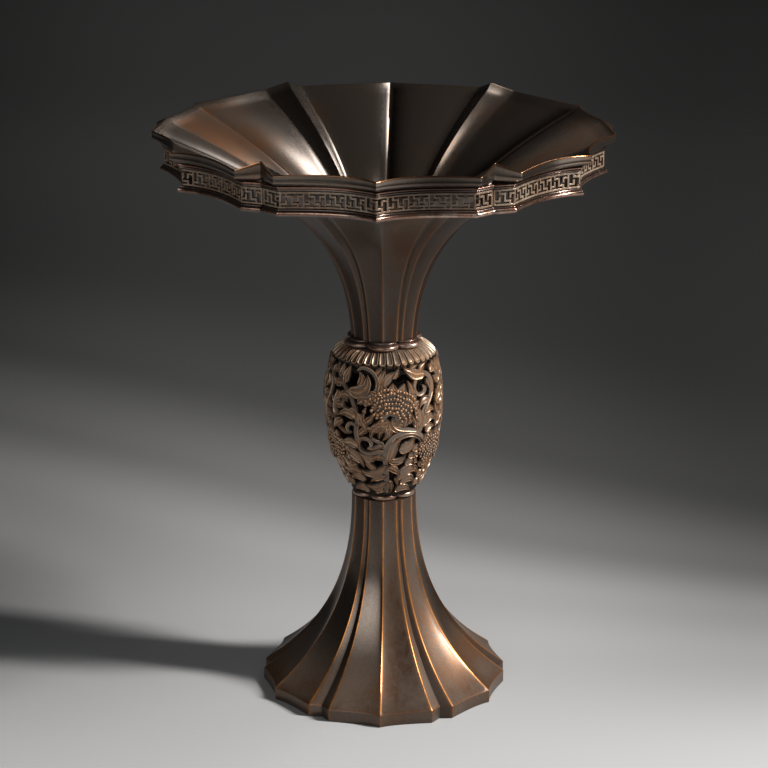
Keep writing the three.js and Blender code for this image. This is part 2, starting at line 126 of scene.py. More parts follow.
def mixFlutes(near, far, share):
    return {key: near[key] + (far[key] - near[key]) * share for key in near}


# 1 at no distance, fading out over a width
def bell(away, width):
    return math.exp(-((away / width) ** 2))


# 0 up to a start, then rising by 1 over each width
def past(value, start, width):
    return max(0.0, value - start) / width


# 1 on one side of a piece, fading out over a width in degrees
def sideShare(turn, side, width):
    return bell((turn - side + 180) % 360 - 180, width)


# An amount on one side of a piece, as amount, side and width
def onSide(turn, patch):
    amount, side, width = patch
    return amount * sideShare(turn, side, width)


# 1 on a cusp or an arris, fading out over a width in millimetres
def ridgeWear(turn, radius, width):
    away = awayFromCusp(turn)
    return bell(math.radians(min(away, abs(away - lobes["arris"]))) * radius, width)


# Mesh helpers: rings are grown from a circle by extruding its edge
layerNames = ("turn", "wear_and_highlight", "soot_and_shade", "tint")  # place round a ring, rubbed metal and painted highlights, black dirt and painted shade, brown skin that in places is painted shade


def newMesh():
    bm = bmesh.new()
    for name in layerNames:
        bm.verts.layers.float.new(name)
    return bm


def layersOf(bm):
    return [bm.verts.layers.float[name] for name in layerNames]


def ringPlace(radius, turn, height):
    angle = math.radians(turn)
    return radius * math.sin(angle), -radius * math.cos(angle), height


def turnOf(place):
    return math.degrees(math.atan2(place.x, -place.y))


def placeRing(bm, verts, station):
    turnLayer, wearAndHighlightLayer, sootAndShadeLayer, tintLayer = layersOf(bm)
    for vert in verts:
        turn = vert[turnLayer]
        radius, height, wear_and_highlight, soot_and_shade, *tint = station(turn)
        vert.co = ringPlace(radius, turn, height)
        vert[wearAndHighlightLayer] = wear_and_highlight
        vert[sootAndShadeLayer] = soot_and_shade
        vert[tintLayer] = tint[0] if tint else 0.0


def growRing(bm, edges):
    grown = bmesh.ops.extrude_edge_only(bm, edges=edges)["geom"]
    verts = [item for item in grown if isinstance(item, bmesh.types.BMVert)]
    fresh = set(verts)
    sides = [item for item in grown if isinstance(item, bmesh.types.BMEdge)]
    return verts, [edge for edge in sides if fresh.issuperset(edge.verts)]


# The first ring of a loft, each vertex numbered by its place round the ring
def firstRing(bm, turns):
    turnLayer = layersOf(bm)[0]
    verts = bmesh.ops.create_circle(bm, segments=len(turns), radius=1.0)["verts"]
    for vert in verts:
        column = round(math.atan2(vert.co.y, vert.co.x) / (2 * math.pi) * len(turns)) % len(turns)
        vert[turnLayer] = turns[column]
    edges = list(dict.fromkeys(edge for vert in verts for edge in vert.link_edges))
    return verts, edges


# A closed ring-shaped body, lofted through stations that run up the outside and down the inside
def loftRing(bm, stations, turns):
    verts, first = firstRing(bm, turns)
    placeRing(bm, verts, stations[0])
    ring = first
    for station in stations[1:]:
        verts, ring = growRing(bm, ring)
        placeRing(bm, verts, station)
    bmesh.ops.bridge_loops(bm, edges=first + ring)


def meshFrom(bm, name):
    mesh = bpy.data.meshes.new(name)
    bm.to_mesh(mesh)
    bm.free()
    return mesh


def addObject(name, data):
    item = bpy.data.objects.new(name, data)
    bpy.context.scene.collection.objects.link(item)
    return item


# Turns a mesh drawn in millimetres into a piece that rides on a body and stands in for its nodes
def finishPiece(bm, name, material, body, nodes, sharp):
    bmesh.ops.recalc_face_normals(bm, faces=bm.faces)
    bmesh.ops.scale(bm, vec=(mm, mm, mm), verts=bm.verts)
    for face in bm.faces:
        face.smooth = True
    mesh = meshFrom(bm, name)
    mesh.set_sharp_from_angle(angle=math.radians(sharp))
    mesh.materials.append(material)
    piece = addObject(name, mesh)
    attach(piece, body)
    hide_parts(*nodes)
    print("piece:", name, len(mesh.polygons), "faces")


# Profiles as radius and height
def bezierProfile(start, leave, arrive, end, count):
    points = interpolate_bezier(Vector(start), Vector(leave), Vector(arrive), Vector(end), count + 1)
    return [Vector((point.x, point.y)) for point in points]


# A point at a length from another, on a slope in degrees
def onSlope(start, slope, length):
    angle = math.radians(slope)
    return start[0] + length * math.cos(angle), start[1] + length * math.sin(angle)


def arcProfile(centre, radius, start, end, count):
    turns = [start + (end - start) * step / count for step in range(count + 1)]
    return [Vector(onSlope(centre, turn, radius)) for turn in turns]


# The direction square to a profile, to the left of its travel
def profileNormal(profile, index):
    before = profile[max(0, index - 1)]
    after = profile[min(len(profile) - 1, index + 1)]
    travel = (after - before).normalized()
    return Vector((-travel.y, travel.x))


def roundStation(radius, height, wear_and_highlight=0.0, soot_and_shade=0.0):
    return lambda turn: (radius, height, wear_and_highlight, soot_and_shade)


# Finishes: one shared patina, placed in each material with its own colours
def newMaterial(name):
    material = bpy.data.materials.new(name)
    material.use_nodes = True
    tree = material.node_tree
    return material, tree, tree.nodes["Principled BSDF"].inputs


# Sets a socket to a plain value or links another node's output to it
def feed(tree, socket, value):
    if isinstance(value, bpy.types.NodeSocket):
        tree.links.new(value, socket)
    else:
        socket.default_value = value


def feedAll(tree, sockets, values):
    for name, value in values.items():
        feed(tree, sockets[name], value)


def addNode(tree, kind, inputs=None, **settings):
    node = tree.nodes.new("ShaderNode" + kind)
    for name, value in settings.items():
        setattr(node, name, value)
    feedAll(tree, node.inputs, inputs or {})
    return node


def addMath(tree, operation, *values, clamp=False):
    node = addNode(tree, "Math", operation=operation, use_clamp=clamp)
    for socket, value in zip(node.inputs, values):
        feed(tree, socket, value)
    return node.outputs[0]


def scaled(tree, value, factor, offset=0.0):
    return addMath(tree, "MULTIPLY_ADD", value, factor, offset)


def addNoise(tree, vector, scale, detail):
    inputs = {"Vector": vector, "Scale": scale, "Detail": detail, "Roughness": patina["noiseRough"]}
    return addNode(tree, "TexNoise", inputs).outputs["Fac"]


def addRamp(tree, value, low, high):
    inputs = {"Value": value, "From Min": low, "From Max": high}
    return addNode(tree, "MapRange", inputs, interpolation_type="SMOOTHSTEP").outputs["Result"]


def addMix(tree, factor, first, second, blend="MIX"):
    node = addNode(tree, "Mix", data_type="RGBA", blend_type=blend)
    values = {"Factor_Float": factor, "A_Color": first, "B_Color": second}
    for socket in node.inputs:
        if socket.identifier in values:
            feed(tree, socket, values[socket.identifier])
    return next(socket for socket in node.outputs if socket.identifier == "Result_Color")


# The patina: scales of its three noises, then spans of the masks and shares made from them
patina = {
    "streak": (1.0, 1.0, 0.4),  # draws the clouds and blotches out upwards
    "clouds": (34.0, 4.0),  # scale and detail, a few centimetres long
    "mottle": (420.0, 4.0),  # blotches of a few millimetres
    "grain": (1500.0, 2.0),  # the fine tooth of the surface
    "noiseRough": 0.55,
    "fleck": (0.5, -0.25),
    "warmSpan": (0.5, 0.74), "blotchSpan": (0.36, 0.66), "blotchShare": (0.5, 0.35),
    "mottleShade": (0.5, 0.35), "grainShade": 0.8,
    "wearPatches": (1.3, 0.35), "wearGrain": (0.5, -0.25), "wearMottle": (0.7, -0.35),
    "edgeSpan": (0.25, 0.6), "coreSpan": (0.55, 1.1),
    "skinShare": (1.2, 0.4), "skin": (0.008, 0.004, 0.001, 1.0),
    "soot_and_shade": (0.004, 0.003, 0.003, 1.0),
    "mottleRough": 0.04, "tintRough": 0.6, "sootAndShadeRough": 0.1, "sootAndShadeMetal": (0.6, 1.0),
    "mottleTooth": 0.6, "grainTooth": 0.4,
    "toothDepth": 0.0002, "coatRough": 0.15,
}
readLayers = ("Wear_and_highlight", "Soot_and_shade", "Tint")
setColors = ("Ground", "Warm", "Rubbed")
setAmounts = ("Warmth", "Polish", "Metal", "Wax")


def makePatinaGroup():
    group = bpy.data.node_groups.new("bronzePatina", "ShaderNodeTree")
    kinds = [("Vector", "Vector")] + [(name, "Float") for name in readLayers]
    kinds += [(name, "Color") for name in setColors] + [(name, "Float") for name in setAmounts]
    for name, kind in kinds:
        group.interface.new_socket(name=name, in_out="INPUT", socket_type="NodeSocket" + kind)
    for name in ("Color", "Roughness", "Metallic", "Coat", "Height"):
        kind = "NodeSocketColor" if name == "Color" else "NodeSocketFloat"
        group.interface.new_socket(name=name, in_out="OUTPUT", socket_type=kind)
    given = group.nodes.new("NodeGroupInput").outputs
    leave = group.nodes.new("NodeGroupOutput").inputs

    def plus(first, second, clamp=False):
        return addMath(group, "ADD", first, second, clamp=clamp)

    def times(first, second, clamp=False):
        return addMath(group, "MULTIPLY", first, second, clamp=clamp)

    def ramp(value, span):
        return addRamp(group, value, *patina[span])

    def share(value, span):
        return scaled(group, value, *patina[span])

    def portion(value, amount):
        return scaled(group, value, patina[amount])

    streaks = addNode(group, "VectorMath", operation="MULTIPLY")
    feed(group, streaks.inputs[0], given["Vector"])
    feed(group, streaks.inputs[1], patina["streak"])
    clouds = addNoise(group, streaks.outputs["Vector"], *patina["clouds"])
    mottle = addNoise(group, streaks.outputs["Vector"], *patina["mottle"])
    grain = addNoise(group, given["Vector"], *patina["grain"])
    flecks = plus(clouds, share(mottle, "fleck"))

    # warm patches over the ground, shaded by the blotches and the grain
    warmMask = times(ramp(flecks, "warmSpan"), given["Warmth"])
    tintMask = times(share(ramp(flecks, "blotchSpan"), "blotchShare"), given["Tint"])
    ground = addMix(group, plus(warmMask, tintMask, clamp=True), given["Ground"], given["Warm"])
    shade = plus(share(mottle, "mottleShade"), portion(grain, "grainShade"))
    shaded = addMix(group, 1.0, ground, shade, "MULTIPLY")

    # ragged wear and painted highlights, warm at the edge and bare metal in the core, under brown skin
    # and under soot and painted shade
    uneven = times(given["Wear_and_highlight"], share(clouds, "wearPatches"))
    worn = plus(uneven, plus(share(grain, "wearGrain"), share(mottle, "wearMottle")))
    edge = addMix(group, ramp(worn, "edgeSpan"), shaded, given["Warm"])
    rubbed = addMix(group, ramp(worn, "coreSpan"), edge, given["Rubbed"])
    cover = times(given["Tint"], share(flecks, "skinShare"), clamp=True)
    skin = addMix(group, cover, rubbed, patina["skin"])
    feed(group, leave["Color"], addMix(group, given["Soot_and_shade"], skin, patina["soot_and_shade"]))

    rough = plus(given["Polish"], portion(mottle, "mottleRough"))
    rough = plus(rough, portion(given["Tint"], "tintRough"))
    feed(group, leave["Roughness"], plus(rough, portion(given["Soot_and_shade"], "sootAndShadeRough")))
    metal = addMath(group, "SUBTRACT", given["Metal"], given["Tint"], clamp=True)
    feed(group, leave["Metallic"], addMath(group, "MAXIMUM", metal, ramp(given["Soot_and_shade"], "sootAndShadeMetal")))
    dull = addMath(group, "MAXIMUM", given["Soot_and_shade"], given["Tint"])
    feed(group, leave["Coat"], times(given["Wax"], scaled(group, dull, -1.0, 1.0)))
    feed(group, leave["Height"], plus(portion(mottle, "mottleTooth"), portion(grain, "grainTooth")))
    return group


patinaGroup = makePatinaGroup()


def bronzeFinish(name, finish):
    material, tree, shader = newMaterial(name)
    inputs = {"Vector": addNode(tree, "TexCoord").outputs["Object"]}
    for layer in readLayers:
        inputs[layer] = addNode(tree, "Attribute", attribute_name=layer.lower()).outputs["Fac"]
    inputs.update({color: (*finish[color.lower()], 1.0) for color in setColors})
    inputs.update({amount: finish[amount.lower()] for amount in setAmounts})
    skin = addNode(tree, "Group", inputs, node_tree=patinaGroup).outputs
    bump = addNode(tree, "Bump", {
        "Strength": finish["tooth"], "Distance": patina["toothDepth"], "Height": skin["Height"],
    })
    feedAll(tree, shader, {
        "Base Color": skin["Color"], "Roughness": skin["Roughness"], "Metallic": skin["Metallic"],
        "Coat Weight": skin["Coat"], "Coat Roughness": patina["coatRough"],
        "Specular IOR Level": finish["sheen"], "Normal": bump.outputs["Normal"],
    })
    return material


flutedFinish = bronzeFinish("flutedBronze", {
    "ground": (0.174, 0.137, 0.110), "warm": (0.24, 0.105, 0.045), "rubbed": (0.58, 0.25, 0.075),
    "warmth": 0.45, "polish": 0.18, "metal": 0.93, "wax": 0.3, "tooth": 0.03, "sheen": 0.2,
})
mouldingFinish = bronzeFinish("mouldingBronze", {
    "ground": (0.135, 0.100, 0.085), "warm": (0.24, 0.115, 0.07), "rubbed": (0.52, 0.43, 0.36),
    "warmth": 0.5, "polish": 0.16, "metal": 0.9, "wax": 0.6, "tooth": 0.12, "sheen": 0.5,
})
fretFinish = bronzeFinish("fretBronze", {
    "ground": (0.13, 0.105, 0.085), "warm": (0.24, 0.15, 0.095), "rubbed": (0.44, 0.36, 0.28),
    "warmth": 0.5, "polish": 0.25, "metal": 0.45, "wax": 0.2, "tooth": 0.2, "sheen": 0.5,
})
carvedFinish = bronzeFinish("carvedBronze", {
    "ground": (0.17, 0.135, 0.108), "warm": (0.28, 0.135, 0.058), "rubbed": (0.46, 0.36, 0.27),
    "warmth": 0.8, "polish": 0.33, "metal": 0.45, "wax": 0.12, "tooth": 0.25, "sheen": 0.3,
})
linerFinish = bronzeFinish("linerBronze", {
    "ground": (0.05, 0.04, 0.034), "warm": (0.09, 0.06, 0.04), "rubbed": (0.3, 0.18, 0.1),
    "warmth": 0.5, "polish": 0.35, "metal": 0.8, "wax": 0.1, "tooth": 0.2, "sheen": 0.5,
})
print("finishes ready")

# Trumpet foot
foot = {
    "flute": {"hollow": 2.65, "step": 0.7, "groove": 3.2},
    "edgeHeight": 6.9, "edgeRound": 0.45,
    # up the edge: inset in rounds, share of its height, lift in rounds, then ridge wear, wear and soot
    "edgeSteps": (
        (1, 0.0, 0.0, 0.4, 0.0, 0.2), (0, 0.0, 1.0, 0.4, 0.0, 0.2), (0, 0.5, 0.0, 0.55, 0.0, 0.1),
        (0, 1.0, -2.0, 0.6, 0.1, 0.1), (0, 1.0, -1.0, 0.7, 0.4, 0.0), (1, 1.0, 0.3, 0.8, 0.55, 0.0),
    ),
    "insideEdge": 0.6,  # share of the edge's height to which the hollow is upright
    "topRadius": 17.1,
    "waistHandle": 45.3, "toeHandle": 42.4, "toeSlope": 34.1,
    "wall": 3.0, "bore": 8.0, "tenonRadius": 11.0,
    "steps": 44, "insideStride": 3, "sharp": 50.0,
    # patina: sides are amount, side and width in degrees, heights are middle or start and reach
    "wearWidth": 0.85,
    "grooveSoot": 0.35, "grooveFloor": (0.75, 0.25),
    "wallShade": 0.55,  # painted shade on the right wall of a groove
    "wallLit": 0.6,  # the left wall of a groove kept less dull, painted as the lit wall
    "dust": 0.8,
    "dustHeight": 24.0,  # height up to which the foot is dull and brown
    "edgeClean": 0.5,
    "stem": (62, 40), "stemBrown": 0.5, "stemSoot": 0.4,
    "shadedRightTo": 88,  # height up to which the right side is painted darker and duller, painted shade that tones down the key light
    "shadedRightFall": 6, "shadedRightDull": (0.75, 20, 35), "shadedRightDark": (0.22, 14, 18),
    # painted sheen: a patch on a right panel kept bare of the dull skin, with dull skin on the cusp
    # beside it to keep the sheen off
    "sheenSide": (0.5, 47, 8), "sheenHeight": (26, 14),
    "brownAndShadeSide": (0.6, 60, 5), "brownAndShadeHeight": (36, 26),
    "stemWear": (0.44, 14, 13), "stemWearFrom": (50, 50),
    "ridgeClean": 0.5,
}


def buildFoot():
    bm = newMesh()
    radius = footHigh.y
    top = lowerLow.z - seatGap
    edge = foot["edgeRound"]
    start = (radius, foot["edgeHeight"])
    leave = onSlope(start, 180 - foot["toeSlope"], foot["toeHandle"])
    arrive = (foot["topRadius"], top - foot["waistHandle"])
    outer = bezierProfile(start, leave, arrive, (foot["topRadius"], top), foot["steps"])

    def bellAt(height, middle, reach):
        return bell(height - middle, reach)

    def flutedStation(reach, height, wearScale=1.0, edgeWear=0.0, edgeSoot=0.0):
        spread = (max(reach, foot["topRadius"]) - foot["topRadius"]) / (radius - foot["topRadius"])
        flute = mixFlutes(stemFlute, foot["flute"], spread)
        stem = past(height, *foot["stem"])

        def station(turn):
            ridge = wearScale * ridgeWear(turn, reach, foot["wearWidth"])
            # painted shade on the right side: darker, duller skin that tones down the key light
            shadedRight = 0.0
            if 0 < turn < 180:
                shadedRight = math.exp(-((height / foot["shadedRightTo"]) ** foot["shadedRightFall"]))
            tint = foot["dust"] * bell(height, foot["dustHeight"]) + foot["stemBrown"] * stem
            tint = min(foot["dust"], max(tint, onSide(turn, foot["shadedRightDull"]) * shadedRight))
            # painted sheen in the middle of a right panel, kept off the cusp beside it
            tint *= 1 - onSide(turn, foot["sheenSide"]) * bellAt(height, *foot["sheenHeight"])
            tint = max(tint, onSide(turn, foot["brownAndShadeSide"]) * bellAt(height, *foot["brownAndShadeHeight"]))
            if height < foot["edgeHeight"]:
                tint *= foot["edgeClean"]
            soot_and_shade = max(edgeSoot, foot["grooveSoot"] * past(grooveShare(turn), *foot["grooveFloor"]))
            soot_and_shade = max(soot_and_shade, foot["stemSoot"] * stem, onSide(turn, foot["shadedRightDark"]) * shadedRight)
            # painted shade on the right wall of each groove, a brighter left wall
            if 0 < acrossGroove(turn) < grooveHalf:
                soot_and_shade = max(soot_and_shade, foot["wallShade"])
            if -grooveHalf < acrossGroove(turn) < 0:
                tint *= foot["wallLit"]
            stemWear = onSide(turn, foot["stemWear"]) * past(height, *foot["stemWearFrom"])
            wear_and_highlight = max(ridge, edgeWear, stemWear)
            tint *= 1 - foot["ridgeClean"] * ridge
            return reach - fluteInset(turn, flute), height, wear_and_highlight, soot_and_shade * (1 - ridge), tint
        return station

    stations = []
    for inset, level, lift, *wearing in foot["edgeSteps"]:
        height = level * foot["edgeHeight"] + lift * edge
        stations.append(flutedStation(radius - inset * edge, height, *wearing))
    for point in outer[1:]:
        if point.x < radius - 2 * edge:
            stations.append(flutedStation(point.x, point.y))
    stations += [roundStation(foot["tenonRadius"], height) for height in (top, footHigh.z)]
    stations.append(roundStation(foot["bore"], footHigh.z))
    for index in range(len(outer) - 1, 0, -foot["insideStride"]):
        point = outer[index] + profileNormal(outer, index) * foot["wall"]
        stations.append(flutedStation(max(point.x, foot["bore"] + stemFlute["groove"]), point.y, 0.0))
    for level in (foot["insideEdge"], 0.0):
        stations.append(flutedStation(radius - foot["wall"], foot["edgeHeight"] * level, 0.0))
    loftRing(bm, stations, lobeTurns())
    finishPiece(bm, "flutedFoot", flutedFinish, "stand", ["foot"], foot["sharp"])


buildFoot()

# Lobed collars: convex lobes pinched in at the grooves
collars = {
    "columns": 144, "roundSteps": 10, "sharp": 60.0,
    "lower": {"notch": 3.1, "bore": 11.3, "arc": (-90, 90)},
    "neck": {
        "notch": 4.5, "bore": 12.8, "arc": (-90, 70),
        "fillet": 0.55, "filletArc": (-80, 90), "ledge": 1.2, "gap": 0.2,
    },
    "wear_and_highlight": 0.85,
    "wearReach": 1.2,  # from the crown inwards, reaching further on the lit side as a painted highlight
    "litReach": (2.4, 45, 45),
    "pinch": (0.9, 0.1), "pinchSoot": 0.6,
    "brown": 0.2,
}


# A moulding given as offsets from the lobes' radius
def buildCollar(name, node, outline, radius, size):
    bm = newMesh()
    stations = [roundStation(size["bore"], min(point.y for point in outline))]
    for point in outline:
        def station(turn, point=point):
            across = awayFromCusp(turn) / halfLobe
            # the wear reaches further on the lit side, a painted highlight
            crown = 1.0 + point.x / (collars["wearReach"] + onSide(turn, collars["litReach"]))
            pinch = past(across, *collars["pinch"])
            wear_and_highlight = collars["wear_and_highlight"] * max(0.0, crown) * (1 - pinch)
            reach = radius + point.x - size["notch"] * across ** 2
            return reach, point.y, wear_and_highlight, collars["pinchSoot"] * pinch, collars["brown"]
        stations.append(station)
    stations.append(roundStation(size["bore"], max(point.y for point in outline)))
    loftRing(bm, stations, evenTurns(collars["columns"]))
    finishPiece(bm, name, mouldingFinish, "stand", [node], collars["sharp"])


def buildLowerCollar():
    size = collars["lower"]
    half = (lowerHigh.z - lowerLow.z) / 2
    outline = arcProfile((-half, lowerLow.z + half), half, *size["arc"], collars["roundSteps"])
    buildCollar("lobedLowerCollar", "lower_collar", outline, lowerHigh.y, size)


def buildNeckCollar():
    size = collars["neck"]
    fillet = size["fillet"]
    half = (neckHigh.z - neckLow.z - 2 * fillet - size["gap"]) / 2
    outline = arcProfile((-half, neckLow.z + half), half, *size["arc"], collars["roundSteps"])
    ledge = (-half - size["ledge"], neckHigh.z - fillet)
    outline += arcProfile(ledge, fillet, *size["filletArc"], collars["roundSteps"] // 2)
    buildCollar("lobedNeckCollar", "neck_collar", outline, neckHigh.y, size)


buildLowerCollar()
buildNeckCollar()

# Dish and neck
dish = {
    "flute": {"hollow": 7.0, "step": 0.9, "groove": 6.6},
    "neckRadius": 17.2, "throatRadius": 9.7, "spigotRadius": 11.2,
    "wall": 2.6,
    "neckTaper": 0.3, "neckHandle": 47.4, "neckSlope": 86.0,
    "lipHandle": 80.5, "lipSlope": 21.8, "lipThickness": 3.8,
    "crestRise": 4.5, "hollowRise": 1.0,
    # round the lip: inset, share of its height, lift and wear
    "lipSteps": (
        (0.4, 0.0, -0.12, 0.2), (0.0, 0.0, 0.4, 0.3), (0.2, 0.3, 0.0, 0.1), (0.25, 0.5, 0.0, 0.05),
        (0.2, 0.75, 0.0, 0.15), (0.0, 1.0, -0.48, 0.5), (0.2, 1.0, -0.08, 0.8), (0.64, 1.0, 0.0, 0.5),
        (1.2, 1.0, -0.2, 0.1),
    ),
    "steps": 56, "sharp": 60.0,
    "soften": (-3.0, -1.5, 0.0, 1.5, 3.0),  # degrees over which the inside is rounded beside an arris
    "softWidth": 2.6,
    # patina outside, sides as amount, side and width in degrees
    "neckWear": 0.6,
    "ridgeFade": (0.4, 0.45),
    "neckSoot": 0.63, "grooveSoot": 0.6,
    "hiddenShade": 0.9,  # painted shade behind the fret, from just above the bead's foot
    "hiddenFrom": 1, "outerBrown": 0.3,
    # lipShade is painted shade on the front right of the lip
    "neckRub": (0.44, 14, 13), "lipShade": (0.7, 15, 11),
    # patina inside
    "wearWidth": 0.42, "cuspWear": 0.7,
    # the brown side is brown patina, and brownShade is painted shade laid over it
    "brownAndShadeSide": (1.0, -108, 24), "brownCusps": 0.5, "brownWear": 0.56, "brownShade": 0.4,
    "valley": (8, 0.8),  # width of the painted shade beside a cusp, which dims its reflection, and of the clean line on it
    # flankShade is painted shade on one flank of each inside rib
    "valleyShade": 0.96, "flankShade": 0.7, "flankFrom": 0.2,
    "shadow": (0.3, -76, 24),
    "lipShadow": (0.65, -138, 12), "lipShadowFrom": (0.6, 0.25),
    "dull": ((0.2, -112, 22), (0.6, 92, 12)),
    "ridgeClean": 0.5,
}


def dishProfile():
    start = (dish["neckRadius"], neckHigh.z + seatGap)
    end = (dishHigh.y, dishHigh.z - dish["crestRise"] - dish["lipThickness"])
    leave = onSlope(start, dish["neckSlope"], dish["neckHandle"])
    arrive = onSlope(end, dish["lipSlope"], -dish["lipHandle"])
    return bezierProfile(start, leave, arrive, end, dish["steps"])


def buildDish():
    bm = newMesh()
    outer = dishProfile()
    seat = outer[0].y
    under = outer[-1].y
    reach = outer[-1].x
    neckRadius = dish["neckRadius"]

    def fluteAt(radius):
        return mixFlutes(stemFlute, dish["flute"], (radius - neckRadius) / (reach - neckRadius))

    def outerStation(point, share):
        flute = fluteAt(point.x)
        least, more = dish["ridgeFade"]
        fade = least + more * (1 - share) ** 2

        def station(turn):
            ridge = fade * ridgeWear(turn, point.x, dish["neckWear"])
            soot_and_shade = max(dish["neckSoot"] * math.sqrt(1 - share), dish["grooveSoot"] * grooveShare(turn))
            # behind the fret the wall is painted dark as shade
            hidden = point.y > beadLow.z + dish["hiddenFrom"]
            soot_and_shade = dish["hiddenShade"] if hidden else soot_and_shade * (1 - ridge)
            wear_and_highlight = max(ridge, onSide(turn, dish["neckRub"]) * (1 - share))
            return point.x - fluteInset(turn, flute), point.y, wear_and_highlight, soot_and_shade, dish["outerBrown"]
        return station

    def lipRise(turn):
        return dish["crestRise"] * grooveShare(turn) + dish["hollowRise"] * hollowShare(turn)

    def lipStation(inset, level, lift, wear_and_highlight):
        def station(turn):
            radius = reach - inset - fluteInset(turn, dish["flute"])
            height = under + (dish["lipThickness"] + lipRise(turn)) * level + lift
            # painted shade on the front right of the lip
            return radius, height, wear_and_highlight, onSide(turn, dish["lipShade"])
        return station

    # the fluted outline, rounded beside the arrises
    def softInset(turn, flute):
        plain = fluteInset(turn, flute)
        mean = sum(fluteInset(turn + away, flute) for away in dish["soften"]) / len(dish["soften"])
        return plain + (mean - plain) * bell(awayFromCusp(turn) - lobes["arris"], dish["softWidth"])

    def innerStation(index):
        share = index / dish["steps"]
        thinning = max(0.0, 1 - share / dish["neckTaper"]) ** 2
        thickness = dish["wall"] + (neckRadius - dish["throatRadius"] - dish["wall"]) * thinning
        point = outer[index] + profileNormal(outer, index) * thickness
        flute = fluteAt(outer[index].x)
        nearLip = min(1.0, past(share, *dish["lipShadowFrom"]))

        def station(turn):
            brown = onSide(turn, dish["brownAndShadeSide"])
            gap = math.radians(awayFromCusp(turn)) * point.x
            ridge = bell(gap, dish["wearWidth"])
            cusp = (dish["cuspWear"] + dish["brownCusps"] * brown) * ridge
            wear_and_highlight = max(cusp, dish["brownWear"] * brown) * share
            wide, narrow = dish["valley"]
            # painted shade beside each cusp, with a clean line on the cusp
            valley = dish["valleyShade"] * bell(gap, wide) * (1 - bell(gap, narrow)) * (1 - brown)
            # painted shade on one flank of each rib
            flank = dish["flankShade"] if dish["flankFrom"] < acrossGroove(turn) < grooveHalf else 0
            # painted shade on the shadowed side and on the brown side
            soot_and_shade = max(valley, flank, onSide(turn, dish["shadow"]), dish["brownShade"] * brown * share)
            soot_and_shade = max(soot_and_shade, onSide(turn, dish["lipShadow"]) * nearLip) * (1 - ridge)
            dull = max(onSide(turn, patch) for patch in dish["dull"])
            dull *= share * (1 - dish["ridgeClean"] * ridge)
            height = point.y + lipRise(turn) * share ** 3
            return point.x - softInset(turn, flute), height, wear_and_highlight, soot_and_shade, dull
        return station

    stations = [roundStation(dish["throatRadius"], dishLow.z)]
    stations += [roundStation(dish["spigotRadius"], height) for height in (dishLow.z, seat)]
    for index, point in enumerate(outer[:-1]):
        stations.append(outerStation(point, index / dish["steps"]))
    stations += [lipStation(*step) for step in dish["lipSteps"]]
    for index in range(dish["steps"] - 1, 1, -1):
        stations.append(innerStation(index))
    stations.append(roundStation(dish["throatRadius"], seat))
    loftRing(bm, stations, lobeTurns())
    finishPiece(bm, "flutedDish", flutedFinish, "dish", ["mouth_dish"], dish["sharp"])


buildDish()

# Apron under the lip: cornice, fret and bead follow one lobed plan
apron = {
    "flute": {"hollow": 7.4, "step": 0.8, "groove": 2.7},
    "fretRadius": 111.5,
    "ridgeWear": 0.4, "ridgeWidth": 0.7,
    "grooveSoot": 0.5, "grooveFloor": (0.7, 0.3),
    "shadeSide": (15, 13),  # side and width in degrees of the shaded and the bright stretch
    "brightSide": (22, 18),
    "sharp": 60.0,
}


def apronReach(turn, inset=0.0):
    return apron["fretRadius"] - inset - fluteInset(turn, apron["flute"])


def apronStation(inset, height, wear_and_highlight=0.0, shade=0.0, bright=0.0):
    def station(turn):
        ridge = apron["ridgeWear"] * ridgeWear(turn, apron["fretRadius"], apron["ridgeWidth"])
        worn = max(wear_and_highlight, ridge, bright * sideShare(turn, *apron["brightSide"]))
        dark = apron["grooveSoot"] * past(grooveShare(turn), *apron["grooveFloor"])
        dark = max(dark, shade * sideShare(turn, *apron["shadeSide"]))
        return apronReach(turn, inset), height, worn, dark
    return station


# The two rolls are given as place across, place up in fillets, radius, arc and wear
cornice = {
    "width": 2.6, "proud": 1.0, "fillet": 0.55,
    "rolls": ((-0.2, 1.0, 0.55, (-60, 75), 0.2), (0.4, 3.2, 0.62, (-70, 80), 0.6)),
    "roundSteps": 7, "shade": 0.7, "gap": 0.35,
    # topShade is painted shade under the lip's overhang
    "topInset": -0.1, "topShade": 0.6,
}


# The cornice stops just short of the dish's underside
def buildCornice():
    bm = newMesh()
    outer = dishProfile()
    base = corniceLow.z
    back = cornice["width"] - cornice["proud"]

    def underLip(inset):
        def station(turn):
            reach = apronReach(turn, inset)
            dishReach = reach + fluteInset(turn, dish["flute"])
            height = outer[-1].y
            for low, high in zip(outer, outer[1:]):
                if low.x <= dishReach <= high.x:
                    height = low.y + (high.y - low.y) * (dishReach - low.x) / (high.x - low.x)
            # painted shade under the lip's overhang
            return reach, height - cornice["gap"], 0.0, cornice["topShade"]
        return station

    stations = [apronStation(back, base), apronStation(cornice["fillet"], base)]
    for across, above, radius, arc, wear_and_highlight in cornice["rolls"]:
        roll = arcProfile((across, base + above * cornice["fillet"]), radius, *arc, cornice["roundSteps"])
        stations += [apronStation(-point.x, point.y, wear_and_highlight, cornice["shade"]) for point in roll]
    stations += [underLip(cornice["topInset"]), underLip(back)]
    loftRing(bm, stations, lobeTurns())
    finishPiece(bm, "rimFillet", mouldingFinish, "dish", ["rim_cornice"],
                apron["sharp"])


bead = {
    "proud": 1.9, "depth": 4.0,
    "fillet": 0.8, "filletPlace": 0.35,
    "roundSteps": 12, "arc": (-90, 78), "filletArc": (-80, 90),
    # the crown's wear is also a painted highlight line, and bright adds a painted highlight on the front
    # right
    "crownWearAndHighlight": 0.8,
    "crownHeight": 1.2,  # of the half round
    "crownWidth": 1.0,
    "filletWear": 0.25, "bright": 0.95,
}


